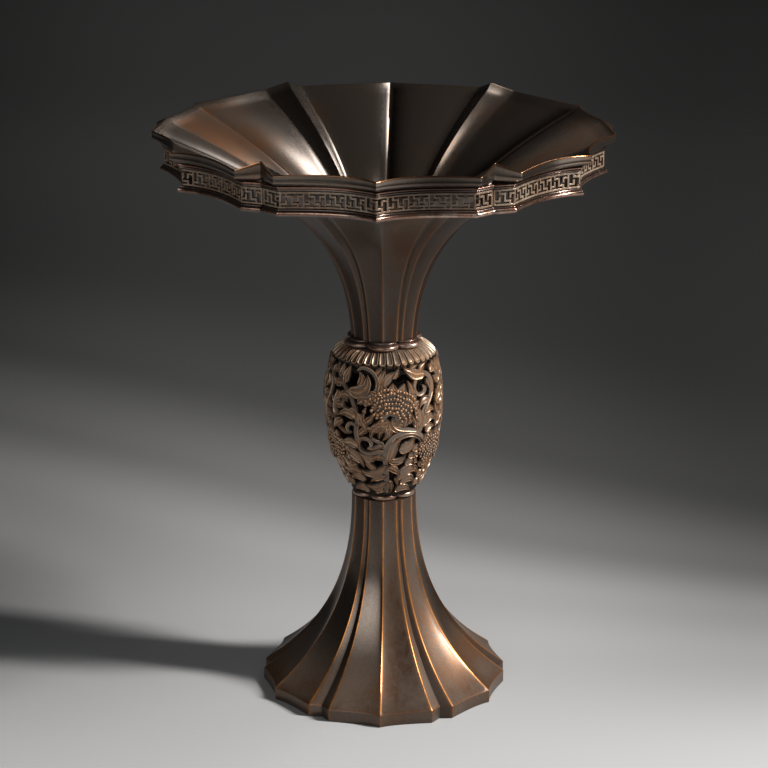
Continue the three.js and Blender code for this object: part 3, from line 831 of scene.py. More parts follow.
def buildBead():
    bm = newMesh()
    low = beadLow.z
    fillet = bead["fillet"]
    half = (beadHigh.z - low - fillet) / 2
    stations = [apronStation(bead["depth"], low)]
    for point in arcProfile((bead["proud"] - half, low + half), half, *bead["arc"], bead["roundSteps"]):
        # painted highlight along the crown and on the front right
        crown = bell(point.y - low - half * bead["crownHeight"], bead["crownWidth"])
        stations.append(apronStation(-point.x, point.y, bead["crownWearAndHighlight"] * crown, bright=bead["bright"]))
    middle = (bead["filletPlace"], beadHigh.z - fillet / 2)
    for point in arcProfile(middle, fillet / 2, *bead["filletArc"], bead["roundSteps"] // 2):
        stations.append(apronStation(-point.x, point.y, bead["filletWear"]))
    stations.append(apronStation(bead["depth"], beadHigh.z))
    loftRing(bm, stations, lobeTurns())
    finishPiece(bm, "rimBead", mouldingFinish, "dish", ["rim_base_bead"],
                apron["sharp"])


buildCornice()
buildBead()

# Fret: six pierced panels, one for each lobe, cut from a stencil of bars and gaps
fret = {
    "stencil": (
        "############",
        "#..#........",
        "#..####..###",
        "#.....#..#..",
        "#..#..#..#..",
        "#..#..#.....",
        "####..####..",
        "#........#..",
        "############",
    ),
    "units": 11,
    "thickness": 2.0, "edgeRound": 0.13, "sharp": 50.0,
    # backShade is painted shade on the backs of the bars
    "faceWear": 0.76, "faceShade": 0.5, "backShade": 0.75,
}


def isFretGap(face, columns, rows):
    centre = face.calc_center_median()
    column = int((centre.x + 1) / 2 * columns)
    row = int((1 - centre.y) / 2 * rows)
    return fret["stencil"][row][column % len(fret["stencil"][0])] == "."


def buildFretPanel(lobe):
    bm = newMesh()
    rows = len(fret["stencil"])
    columns = len(fret["stencil"][0]) * fret["units"] + 1
    bmesh.ops.create_grid(bm, x_segments=columns, y_segments=rows, size=1.0)
    gaps = [face for face in bm.faces if isFretGap(face, columns, rows)]
    bmesh.ops.delete(bm, geom=gaps, context="FACES")
    height = fretHigh.z - fretLow.z
    halfTurn = halfLobe - math.degrees(seatGap / 2 / apron["fretRadius"])
    for vert in bm.verts:
        turn = vert.co.x * halfTurn
        vert.co = ringPlace(apronReach(turn), turn, fretLow.z + height * (vert.co.y + 1) / 2)
    bmesh.ops.recalc_face_normals(bm, faces=bm.faces)
    if sum(face.normal.y for face in bm.faces) > 0:
        bmesh.ops.reverse_faces(bm, faces=bm.faces)
    front = set(bm.faces)
    bmesh.ops.solidify(bm, geom=list(bm.faces), thickness=fret["thickness"])
    wearAndHighlightLayer, sootAndShadeLayer = layersOf(bm)[1:3]
    rims = []
    for edge in bm.edges:
        sides = [face in front for face in edge.link_faces]
        if len(sides) == 2 and sides[0] != sides[1]:
            rims.append(edge)
    for vert in bm.verts:
        outside = any(face in front for face in vert.link_faces)
        turn = turnOf(vert.co) + lobe * lobes["pitch"]
        # painted shade on the front right faces and on the backs
        shade = fret["faceShade"] * sideShare(turn, *apron["shadeSide"])
        vert[wearAndHighlightLayer] = fret["faceWear"] if outside else 0.0
        vert[sootAndShadeLayer] = shade if outside else fret["backShade"]
    bmesh.ops.bevel(bm, geom=rims, offset=fret["edgeRound"], offset_type="OFFSET", segments=2,
                    profile=0.5, affect="EDGES", material=-1)
    spin = Matrix.Rotation(math.radians(lobe * lobes["pitch"]), 3, "Z")
    bmesh.ops.rotate(bm, cent=(0, 0, 0), matrix=spin, verts=bm.verts)
    name, node = f"fretPanel{lobe + 1}", f"fret_panel_{lobe + 1}"
    finishPiece(bm, name, fretFinish, "dish", [node], fret["sharp"])


for lobeIndex in range(lobes["count"]):
    buildFretPanel(lobeIndex)

# Petal shoulder: gouged petals with raised rims, rounded at their ends
petals = {
    "count": 42,
    "columns": 14,  # columns across one petal
    "steps": 18, "sharp": 60.0,
    "rootRadius": 17.4, "tipRadius": 26.6,
    "tipRise": 4.0,  # of the tips above the shoulder's foot
    "handles": ((21.4, 0.2), (25.0, 2.6)),  # radius and drop of the slope's two handles
    "rise": 0.6,  # of a rim above the gouge
    "rimPlace": 0.55, "rimWidth": 0.31,
    "gap": 0.55,  # depth of the cut between neighbours
    "gapWidth": 0.28,
    "growth": (0.04, 0.25),  # start and length of the shallow roots
    "endRound": 2.2,
    # round the tips: share of the slope and depth below it
    "tipSteps": ((0.985, 0.05), (1.0, 0.35), (1.0, 1.1), (0.93, 1.3)),
    "rootLand": 1,  # level ring inside the roots
    "register": 25.0, "registerRise": 2.0, "registerWidth": 2,
    "bore": 12.8, "boreDepth": 2.5, "insideSoot": 0.8,
    "rimWear": 1.5,
    "gougeHighlight": 0.45, "gougeShade": 0.5, "cutSoot": 0.95,
    "litSide": (45, 40),  # sides and widths in degrees of the painted highlight and the painted shade
    "brownAndShadeSide": (-45, 32),
    "litClean": 0.9, "shadedSideDim": 0.45,
}


def buildPetals():
    bm = newMesh()
    top = shoulderHigh.z
    low = shoulderLow.z
    handles = [(radius, top - drop) for radius, drop in petals["handles"]]
    tip = (petals["tipRadius"], low + petals["tipRise"])
    slope = bezierProfile((petals["rootRadius"], top), *handles, tip, petals["steps"])
    length = sum((second - first).length for first, second in zip(slope, slope[1:]))
    pitch = 360 / petals["count"]

    # phase runs from -0.5 to 0.5 across a petal
    def phaseAt(turn):
        return (turn / pitch + 0.5) % 1.0 - 0.5

    def endShare(phase):
        return 1 - petals["endRound"] / length * abs(2 * phase) ** 3

    def slopePoint(share):
        place = max(0.0, min(1.0, share)) * petals["steps"]
        index = min(petals["steps"] - 1, int(place))
        point = slope[index].lerp(slope[index + 1], place - index)
        return point, profileNormal(slope, index)

    def petalStation(share, drop=0.0):
        grown = min(1.0, past(share, *petals["growth"]))

        def station(turn):
            phase = phaseAt(turn)
            point, normal = slopePoint(share * endShare(phase))
            side = (0.5 - abs(phase)) * math.radians(pitch) * point.x
            rim = bell(min(side, (1 - share) * length) - petals["rimPlace"], petals["rimWidth"])
            cut = bell(side, petals["gapWidth"])
            lift = grown * (petals["rise"] * rim - petals["gap"] * cut)
            spot = point + normal * (lift - drop)
            # painted highlight in the gouges on the lit side, dimmer rims on the brown side, painted
            # shade in the gouges away from the lit side
            lit = sideShare(turn, *petals["litSide"])
            dull = petals["shadedSideDim"] * sideShare(turn, *petals["brownAndShadeSide"])
            wear_and_highlight = petals["rimWear"] * (1 - dull) * rim + petals["gougeHighlight"] * lit * (1 - rim)
            soot_and_shade = petals["gougeShade"] * (1 - rim) * (1 - petals["litClean"] * lit)
            return spot.x, spot.y, grown * wear_and_highlight * (1 - cut), grown * max(petals["cutSoot"] * cut, soot_and_shade)
        return station

    register = petals["register"]
    inside = (
        (register, low + petals["registerRise"]), (register, low),
        (register - petals["registerWidth"], low), (petals["bore"], top - petals["boreDepth"]),
    )
    stations = [roundStation(petals["bore"], top)]
    stations.append(roundStation(petals["rootRadius"] - petals["rootLand"], top))
    stations += [petalStation(share / petals["steps"]) for share in range(petals["steps"])]
    stations += [petalStation(*step) for step in petals["tipSteps"]]
    stations += [roundStation(radius, height, 0, petals["insideSoot"]) for radius, height in inside]
    loftRing(bm, stations, evenTurns(petals["count"] * petals["columns"]))
    finishPiece(bm, "petalRing", carvedFinish, "stand", ["petal_shoulder"],
                petals["sharp"])


buildPetals()

# Carved knop: a peony scroll drawn flat, then wrapped round the profile
# Flat places are millimetres round the belly and up the profile, heights are from the profile's skin
knop = {
    "sectors": 3,
    "bellyRadius": 31.0, "bellyHeight": 46.0,
    "baseRadius": 18.5, "topRadius": 28.3,
    "baseSlope": 61.0, "baseHandle": 11.4,
    "bellyHandle": 22.0,
    "crownHandle": 10.0, "crownSlope": 77.0,
    "profileSteps": 40, "sharp": 70.0,
    "overRun": (-0.4, 2.4),  # the scroll runs on under the petal tips
    "leftHighlight": (0.3, -50, 35),  # painted highlight on the left side: amount, side and width in degrees
    # the sunk bands are painted dark as shade
    "band": {"height": 2.4, "depth": 3.2, "inset": 2.0, "baseOut": 0.6, "columns": 96, "soot_and_shade": (1, 0.9)},
}
ground = {
    "level": -2.3, "back": -3.5, "top": 70.4,
    # the ground is painted near black as shade behind the scroll
    "columns": 168, "rows": 60, "soot_and_shade": 0.97,
    "edgeReach": (0.3, 1.9),  # boundary corners this near a piercing's outline are drawn onto it
    "margin": 0.5, "joinReach": 0.01,
}
stroke = {
    "crest": -0.35, "relief": 1.5, "thinRelief": 0.35,
    "backHalf": 0.75, "stepLength": 1.5, "tip": 0.16,
    "crestWear": 0.9, "crestFrom": (0.7, 0.25),
    # shadeBelow and shadeDepth paint shade on the sides of each stroke, darker towards the ground
    "shadeBelow": 0.55, "shadeDepth": 1.1,
    "scallops": 3, "scallopDepth": 0.14,
    "leafSwell": 1.14, "leafBelly": 0.72, "leafRoot": 0.25,
    "vineBlunt": (0.05, 0.02),
}

# Half sections of the strokes: place across, then level from the back at -1 to the crest at 1
strokeSections = {
    "vine": ((1.0, -0.4), (0.9, 0.55), (0.66, 0.95), (0.3, 0.62)),
    "leaf": ((1.0, -0.4), (0.94, 0.5), (0.78, 0.92), (0.48, 0.52), (0.1, 0.85)),
}


def strokeOutline(kind):
    right = list(strokeSections[kind])
    left = [(-across, level) for across, level in reversed(right)]
    return right + left + [(-stroke["backHalf"], -1.0), (stroke["backHalf"], -1.0)]


# Vines: half width at the start and the end, height above the crest line, points on the line
scrollVines = (
    (2.4, 1.5, -0.3, ((3.2, 1.5), (3.0, 9), (2.6, 17), (1.8, 25), (1.6, 30))),
    (1.8, 1.2, 0.2, ((1.7, 23), (1.9, 29), (3.6, 34.8), (7.5, 38.8), (12.5, 40.4), (18, 39.8),
                     (22.5, 37.2), (26, 33.5))),
    (1.6, 1.0, 0.1, ((1.6, 29.5), (-2.5, 29.6), (-7.5, 28.3), (-12, 29.8), (-13.6, 33.2), (-12, 36.4),
                     (-8.6, 37), (-6, 34.8), (-6.6, 32.4), (-8.2, 32))),
    (1.4, 1.0, -0.2, ((1.4, 31), (-0.8, 35), (-4.6, 36.6), (-6.8, 39.5))),
    (1.7, 1.2, 0.0, ((-13.5, 33), (-14.6, 40), (-13.6, 46), (-14.8, 52), (-17.5, 58), (-21.5, 62.5),
                     (-26, 67), (-29, 71), (-30, 75))),
    (1.6, 0.9, 0.2, ((-20.4, 61.4), (-14, 59.4), (-8, 59.6), (-3.6, 62.8), (-2.6, 67.6), (-4.6, 71.8),
                     (-8.6, 74.2), (-12.6, 74.4), (-14.6, 72.8))),
    (1.9, 1.0, 0.1, ((20.5, 38.4), (22, 43), (23.2, 48), (26, 53), (29.6, 58), (31, 63), (29.6, 68),
                     (25.5, 70.4), (21, 69), (18.4, 65), (18.8, 61.2), (21.6, 59.4), (24.6, 60.6),
                     (25.2, 63), (23.4, 64.2))),
    (1.1, 0.8, -0.2, ((8.4, 32.6), (9.4, 36.4), (13, 38.2), (18, 37.8), (22.2, 35.2), (24, 31.4))),
    (1.3, 1.1, 0.3, ((5.6, 49.4), (6.4, 45.2), (9.4, 42.8), (14, 41.8), (19.5, 40.6))),
    (1.3, 0.8, 0.0, ((-13.8, 41), (-15, 44), (-18.5, 44.4), (-20.4, 41.6), (-19, 39.2), (-17, 40))),
    (1.5, 0.9, 0.1, ((-15.2, 53), (-18.6, 51.2), (-22.4, 52.2), (-23.6, 55), (-21.6, 57), (-19.6, 55.8))),
    (1.4, 1.0, -0.3, ((-20, 38.6), (-25, 39.6), (-29.4, 42.4), (-31.6, 47))),
)

# Leaves: half width, height above the crest line, points from root to tip
scrollLeaves = (
    (3.6, 0.2, ((-19.4, 62.2), (-14.5, 61.6), (-10.4, 63.2), (-8.2, 66.8), (-8.4, 71.2))),
    (2.2, 0.0, ((-13.6, 64.6), (-11.8, 67.4), (-11.8, 70.4), (-13.6, 72.4))),
    (2.8, 0.3, ((26, 69.8), (20, 70.2), (15.8, 72.2), (12.4, 74.4))),
    (3.0, -0.1, ((3.9, 24.5), (5.4, 30), (7.4, 34.2), (10.4, 36.8))),
    (3.2, 0.0, ((9.4, 30.6), (13.2, 31), (16.4, 33.4), (17.8, 37))),
    (1.9, 0.1, ((20, 41), (18.8, 45), (16.2, 49))),
    (2.4, 0.2, ((21, 42), (20.8, 47.6), (18.8, 52.4), (15.4, 54.8))),
    (1.7, -0.1, ((11.8, 43.4), (13, 46.8), (13.2, 50.6))),
    (2.4, 0.1, ((23.4, 42), (26, 45.2), (29.6, 46.2), (33.4, 44.2))),
    (2.1, -0.1, ((25.6, 38.6), (28.6, 41), (32.6, 40.4))),
    (2.2, 0.0, ((24.4, 49.6), (28, 51), (31.8, 49.8))),
    (1.9, 0.0, ((28.4, 56), (25.6, 56.4), (22.4, 55), (21, 52.8))),
    (2.5, 0.0, ((2.4, 21), (-1.5, 17.4), (-6.2, 15.6), (-11.5, 15.6), (-15.4, 17.6))),
    (1.7, 0.0, ((1.6, 25), (-2.2, 26.8), (-4.8, 25.4), (-5.2, 23.2))),
    (2.4, 0.0, ((2.6, 9.6), (-1.6, 6.8), (-7, 5.6), (-12.8, 7.2))),
    (2.0, -0.2, ((2.6, 14), (-2, 13), (-5.8, 11.8), (-9, 9.6))),
    (2.2, 0.0, ((3.2, 20), (6.2, 19.2), (9.4, 17), (11.8, 14.2))),
    (2.0, 0.0, ((3.4, 25.4), (6.5, 23.4), (9.6, 23.4), (12.6, 25), (13.6, 27.4))),
    (1.8, 0.0, ((4.2, 11), (6.2, 8.2), (6.8, 4.6), (5.6, 1.8))),
    (3.2, 0.0, ((10.6, 11.4), (14, 16), (18.6, 18), (23, 16.8), (25.6, 13))),
    (2.8, 0.1, ((13, 8.6), (17.6, 11.4), (22, 10.6), (24.8, 7.4))),
    (2.3, 0.0, ((10, 3), (15, 5), (20, 4.6), (25, 2.4))),
    (2.2, 0.0, ((-23.4, 45.4), (-27.8, 43), (-31, 39.4))),
    (2.5, 0.0, ((-13.6, 31.6), (-18.6, 33.6), (-23.4, 32.6), (-28, 34.6))),
    (2.5, -0.1, ((-23, 29.6), (-17.4, 26.8), (-13.6, 23.8), (-11.4, 19.4))),
    (2.1, 0.0, ((-25.6, 60.4), (-27.8, 56.4), (-30.6, 53))),
    (2.2, 0.0, ((-24.4, 65.4), (-28, 64.4), (-31.6, 66.4))),
    (2.5, 0.0, ((-12, 10.6), (-17, 12.6), (-21.6, 12), (-26, 9.2))),
    (2.4, 0.0, ((-11, 2.6), (-16, 5), (-21, 4.4), (-26, 2.4))),
    (2.3, 0.0, ((-13, 50.6), (-11, 46.6), (-9.2, 43), (-8.4, 40))),
    (2.1, -0.1, ((-16.4, 21), (-20, 19.4), (-23.6, 20.4), (-26.4, 23.4))),
    (2.3, -0.5, ((-12, 22), (-18, 24.6), (-24, 23.6), (-28, 20.6))),
    (2.5, -0.4, ((-14, 13.4), (-20, 16.4), (-26, 15.4), (-31, 17.4))),
    (2.2, -0.3, ((-27, 12.4), (-31, 10), (-35, 9.6))),
    (2.2, -0.3, ((-24, 6.2), (-29, 7), (-33, 4.8))),
    (1.9, -0.3, ((-6.4, 2), (-2, 3.6), (2.4, 2.2))),
    (1.8, -0.2, ((-27, 47), (-29.6, 48.6), (-31.4, 52.4))),
    (1.7, -0.1, ((-21.4, 60.6), (-24, 58.4), (-28, 58.8))),
    (2.4, -0.2, ((0.6, 45.6), (-3, 43.6), (-5.6, 40.6), (-5.6, 37.4))),
    (2.5, -0.1, ((3, 46.4), (3.8, 42.6), (2.6, 39), (0.2, 36.8))),
    (2.0, -0.4, ((1, 44.6), (-1, 41), (-1.6, 37.4))),
    (2.0, -0.2, ((26.6, 36.4), (29.6, 37.6), (33, 36.4))),
    (2.4, 0.2, ((15.6, 55.4), (17, 60), (16, 64.4), (14, 68))),
    (1.5, 0.0, ((26.6, 66.6), (28.4, 64.8), (28.6, 61.4))),
    (2.0, 0.0, ((31, 69.6), (34, 71.4), (37, 70.6))),
    (2.2, 0.0, ((-22, 65.2), (-22, 69.4), (-19.4, 74.6))),
    (2.3, 0.1, ((-1.8, 64), (-0.6, 69), (1.8, 74.4))),
    (2.3, 0.0, ((0.8, 65.6), (3, 69.4), (7.4, 72.8))),
    (1.7, -0.1, ((22.6, 70.6), (24.4, 73), (27.6, 75))),
    (1.6, -0.2, ((16.4, 71.4), (18.4, 73.8), (21.4, 75))),
    (1.8, -0.2, ((-26.2, 68), (-25.4, 71.6), (-24.6, 75))),
    (1.6, -0.2, ((5.8, 69.6), (8.8, 72.6), (9.4, 75.2))),
    (1.5, -0.3, ((-4.2, 72), (-1.6, 73.6), (-0.8, 75.3))),
    (2.2, -0.2, ((-2.5, 27.5), (-7, 25.2), (-11, 26), (-14.4, 28.6))),
    (1.8, -0.3, ((-3.6, 18.8), (-7.6, 20.4), (-9.4, 23.2), (-8.4, 25.6))),
    (2.0, -0.2, ((-13.4, 55.6), (-11, 57.6), (-7.4, 57.8), (-4.6, 55.8))),
    (2.5, 0.1, ((-14.6, 47.4), (-18, 49.6), (-22.2, 49.6), (-26.4, 47.2))),
    (2.3, 0.0, ((-23.4, 54.4), (-26.4, 53), (-29.8, 53.8), (-32, 56.6))),
    (2.0, -0.1, ((-17.8, 58.6), (-21.8, 59.6), (-25, 58.6), (-28.4, 60.4))),
    (1.9, -0.2, ((-11.4, 44.6), (-8, 46.6), (-5.4, 49.6), (-5.2, 52.6))),
    (1.8, -0.3, ((-13, 38.6), (-10, 41.6), (-6.6, 43), (-3.6, 42.2))),
    (1.8, -0.3, ((0.6, 33.6), (-2.4, 32.4), (-5.4, 31), (-8.6, 31.4))),
    (1.8, -0.2, ((14.4, 45), (15.8, 48.6), (14.2, 52))),
    (2.5, -0.2, ((14, 21.4), (18.5, 22.8), (23, 21.4))),
    (2.2, -0.2, ((15.4, 25.8), (20, 26.6), (24.6, 25.2))),
    (1.9, 0.0, ((17.4, 29.6), (21, 30.2), (25, 29))),
    (2.3, -0.1, ((23.6, 20.2), (28, 19), (31.2, 15.4))),
    (2.4, -0.1, ((26, 11.8), (29.8, 12.8), (33.6, 11))),
    (2.2, 0.0, ((25.6, 5.8), (29.6, 7.2), (33.8, 5.6))),
    (1.6, -0.1, ((8.2, 12.6), (10.8, 10), (11.4, 6.4))),
)

# Piercings through the ground: place, half width and half height
scrollPiercings = (
    (-17, 67, 3.0, 2.4), (-6, 67.4, 1.6, 2.4), (9.8, 69.8, 2.6, 2.2), (-9.4, 53, 2.6, 2.0),
    (-7.2, 50.6, 2.0, 1.6), (-10.6, 39.8, 2.8, 2.0), (9.2, 47.4, 2.5, 2.0), (18.2, 48.8, 1.7, 1.5),
    (29.2, 48.4, 1.6, 1.1), (-8.4, 34, 1.5, 1.4), (11.4, 35.4, 2.0, 1.6), (21, 34, 2.2, 1.2),
    (-17, 37.4, 2.2, 1.4), (-4, 21.4, 3.0, 2.4), (14, 28.2, 2.2, 1.1), (9.8, 20.8, 2.2, 1.1),
    (12.6, 13.4, 1.3, 1.6), (-2.4, 9.8, 2.6, 1.4), (-17.4, 8.4, 2.0, 1.4), (9, 6.6, 2.0, 2.8),
    (25.6, 9.2, 1.6, 1.2), (30.6, 17, 1.5, 1.1), (18, 57, 2.0, 1.8), (20.6, 63.6, 1.2, 1.9),
    (27.4, 63.2, 1.2, 1.3), (0.2, 66.4, 1.2, 1.5), (-30.4, 61.4, 1.8, 1.5), (-24.6, 62.6, 1.5, 1.1),
    (-17.4, 45.8, 1.4, 1.1), (-23.6, 26.6, 1.8, 1.2), (26.4, 48, 1.2, 1.0), (-29, 39.4, 1.4, 1.1),
    (5.4, 41.2, 1.2, 1.2), (-25, 17.8, 1.8, 1.0),
)

peony = {
    "rows": (15.4, 13.1, 10.8, 8.6, 6.4, 4.2),
    "open": 94.0,  # degrees spanned by the outer row
    "openMore": 17.0,
    "rowWidth": 1.5, "rowLift": 0.15, "rowRise": 0.18, "rowSteps": 8,
    "wave": 0.45, "waves": 7, "wavePhase": 70,
    "bead": 0.95, "beadPitch": 1.75, "beadSides": {"u_segments": 8, "v_segments": 5},
    "beadFlat": 0.75, "beadSink": 0.1,
    "beadStray": (0.9, 0.45),  # how finely and how far the beads wander
    "strayLevels": (3.3, 7.7, 12.1),  # where the noise is read for x, y and z
    "beadVary": (0.7, 0.5),  # how finely and how much their sizes vary
    # beadShade is painted shade on the beads' undersides
    "beadWear": 0.65, "beadShade": 0.2,
    "petals": 11,
    "petalFan": 190.0, "petalWidth": 2.6, "petalRoot": 13.5, "petalSide": 15.5, "petalRise": 5.5,
    "petalShort": 1.2,  # every other petal is shorter and stands higher
    "petalLifts": (0.15, 0.35),
    "sepals": 5,
    "sepalFan": 140.0, "sepalReaches": (0.5, 4.0, 8.0), "sepalLift": 0.1,
}
peonies = (
    {"place": (4.4, 47.6), "size": 1.0, "tilt": -4.0},
    {"place": (32.5, 21.5), "size": 0.84, "tilt": 6.0},
)


def knopProfile():
    base = Vector((knop["baseRadius"], knopLow.z))
    belly = Vector((knop["bellyRadius"], knopLow.z + knop["bellyHeight"]))
    top = Vector((knop["topRadius"], knopHigh.z))
    leave = onSlope(base, knop["baseSlope"], knop["baseHandle"])
    arrive = belly - Vector((0, knop["bellyHandle"]))
    lower = bezierProfile(base, leave, arrive, belly, knop["profileSteps"])
    leave = belly + Vector((0, knop["crownHandle"]))
    arrive = onSlope(top, -knop["crownSlope"], knop["crownHandle"])
    upper = bezierProfile(belly, leave, arrive, top, knop["profileSteps"])[1:]
    return lower + upper + [top + Vector(knop["overRun"])]


# A smooth line through given points
def smoothPath(points, spacing):
    corners = [Vector((x, y, 0.0)) for x, y in points]
    line = [corners[0]]
    for index, (start, end) in enumerate(zip(corners, corners[1:])):
        before = corners[max(0, index - 1)]
        after = corners[min(len(corners) - 1, index + 2)]
        count = max(2, round((end - start).length / spacing))
        leave = start + (end - before) / 6
        arrive = end - (after - start) / 6
        line += interpolate_bezier(start, leave, arrive, end, count + 1)[1:]
    return line


# Leaves swell and are scalloped along their edges
def leafHalf(share, wide):
    depth = stroke["scallopDepth"]
    scallop = 1 - depth + depth * abs(math.sin(stroke["scallops"] * math.pi * share))
    swell = stroke["leafSwell"] * wide * scallop * math.sin(math.pi * share ** stroke["leafBelly"])
    return max(stroke["tip"], swell + stroke["leafRoot"] * (1 - share))


# Vines taper evenly and end bluntly
def vineHalf(share, wide, narrow):
    length, least = stroke["vineBlunt"]
    blunt = min(1.0, math.sqrt(min(share, 1 - share) / length + least))
    return max(stroke["tip"], (wide + (narrow - wide) * share) * blunt)


# Adds a finished part to a larger mesh
def joinInto(bm, part):
    mesh = meshFrom(part, "carvedPart")
    bm.from_mesh(mesh)
    bpy.data.meshes.remove(mesh)


# A row of the scroll: its half widths, its height above the crest line and its points
def carveStroke(whole, kind, row):
    *widths, lift, points = row
    halfAt = leafHalf if kind == "leaf" else vineHalf
    bm = newMesh()
    turnLayer, wearAndHighlightLayer, sootAndShadeLayer = layersOf(bm)[:3]
    outline = strokeOutline(kind)
    path = smoothPath(points, stroke["stepLength"])
    last = len(path) - 1
    verts, first = firstRing(bm, list(range(len(outline))))
    ring = first
    for step, spot in enumerate(path):
        if step:
            verts, ring = growRing(bm, ring)
        travel = path[min(last, step + 1)] - path[max(0, step - 1)]
        side = Vector((travel.y, -travel.x, 0.0)).normalized()
        half = halfAt(step / last, *widths)
        relief = stroke["relief"] * min(1.0, stroke["thinRelief"] + half)
        for vert in verts:
            across, level = outline[round(vert[turnLayer])]
            height = ground["back"] if level <= -1 else stroke["crest"] + lift + relief * (level - 1)
            vert.co = spot + side * (across * half) + Vector((0.0, 0.0, height))
            vert[wearAndHighlightLayer] = stroke["crestWear"] * past(level, *stroke["crestFrom"])
            # painted shade on the sides of the stroke
            vert[sootAndShadeLayer] = min(1.0, past(stroke["shadeBelow"], level, stroke["shadeDepth"]))
    bmesh.ops.edgeloop_fill(bm, edges=first)
    bmesh.ops.edgeloop_fill(bm, edges=ring)
    joinInto(whole, bm)


def carveBead(whole, place, radius):
    bm = newMesh()
    wearAndHighlightLayer, sootAndShadeLayer = layersOf(bm)[1:3]
    bmesh.ops.create_uvsphere(bm, radius=radius, **peony["beadSides"])
    for vert in bm.verts:
        level = vert.co.z / radius
        vert[wearAndHighlightLayer] = peony["beadWear"] * max(0.0, level)
        # painted shade on the bead's underside
        vert[sootAndShadeLayer] = max(0.0, peony["beadShade"] - level)
        vert.co.z *= peony["beadFlat"]
        vert.co += place
    joinInto(whole, bm)


def carvePeony(bm, place, size, tilt):
    root = Vector((*place, 0.0))
    strayFine, strayFar = peony["beadStray"]
    varyFine, varyMuch = peony["beadVary"]
    levels = [Vector((0.0, 0.0, level)) for level in peony["strayLevels"]]

    def polar(reach, angle):
        bearing = math.radians(90 + angle + tilt)
        return root + Vector((math.cos(bearing), math.sin(bearing), 0.0)) * (reach * size)

    # a leaf that points outwards from the root
    def carveRay(reaches, angle, lift):
        points = [polar(reach, angle).to_2d() for reach in reaches]
        carveStroke(bm, "leaf", (peony["petalWidth"] * size, lift, points))

    for petal in range(peony["petals"]):
        angle = peony["petalFan"] * (petal / (peony["petals"] - 1) - 0.5)
        near = peony["petalRoot"]
        far = peony["petalSide"] + peony["petalRise"] * math.cos(math.radians(angle))
        far -= peony["petalShort"] * (petal % 2)
        carveRay((near, (near + far) / 2, far), angle, peony["petalLifts"][petal % 2])
    for sepal in range(peony["sepals"]):
        angle = 180 + peony["sepalFan"] * (sepal / (peony["sepals"] - 1) - 0.5)
        carveRay(peony["sepalReaches"], angle, peony["sepalLift"])
    for row, reach in enumerate(peony["rows"]):
        lift = peony["rowLift"] + peony["rowRise"] * row
        fan = min(180.0, peony["open"] + peony["openMore"] * row)

        def waved(angle):
            phase = math.radians(angle * peony["waves"] + row * peony["wavePhase"])
            return reach + peony["wave"] * math.sin(phase)

        angles = [fan * (step / peony["rowSteps"] - 0.5) for step in range(peony["rowSteps"] + 1)]
        width = peony["rowWidth"] * size
        points = [polar(waved(angle), angle).to_2d() for angle in angles]
        carveStroke(bm, "vine", (width, width, lift, points))
        edge = peony["rowWidth"] / 2
        count = round(math.radians(fan) * (reach + edge) / peony["beadPitch"])
        rise = Vector((0.0, 0.0, stroke["crest"] + lift - peony["beadSink"]))
        for index in range(count + 1):
            angle = fan * (index / count - 0.5)
            spot = polar(waved(angle) + edge, angle)
            spot += Vector([noise.noise(spot * strayFine + level) for level in levels]) * strayFar
            grain = 1.0 + varyMuch * noise.noise(spot * varyFine)
            carveBead(bm, spot + rise, peony["bead"] * size * grain)


# Wraps the flat carving round the knop
def wrapOnKnop(bm, profile):
    lengths = [0.0]
    for first, second in zip(profile, profile[1:]):
        lengths.append(lengths[-1] + (second - first).length)
    for vert in bm.verts:
        reach = max(0.0, min(lengths[-1] - tiny, vert.co.y))
        index = bisect_right(lengths, reach) - 1
        share = (reach - lengths[index]) / (lengths[index + 1] - lengths[index])
        normal = profileNormal(profile, index).lerp(profileNormal(profile, index + 1), share)
        point = profile[index].lerp(profile[index + 1], share) - normal * vert.co.z
        angle = vert.co.x / knop["bellyRadius"]
        vert.co = (point.x * math.sin(angle), -point.x * math.cos(angle), point.y)


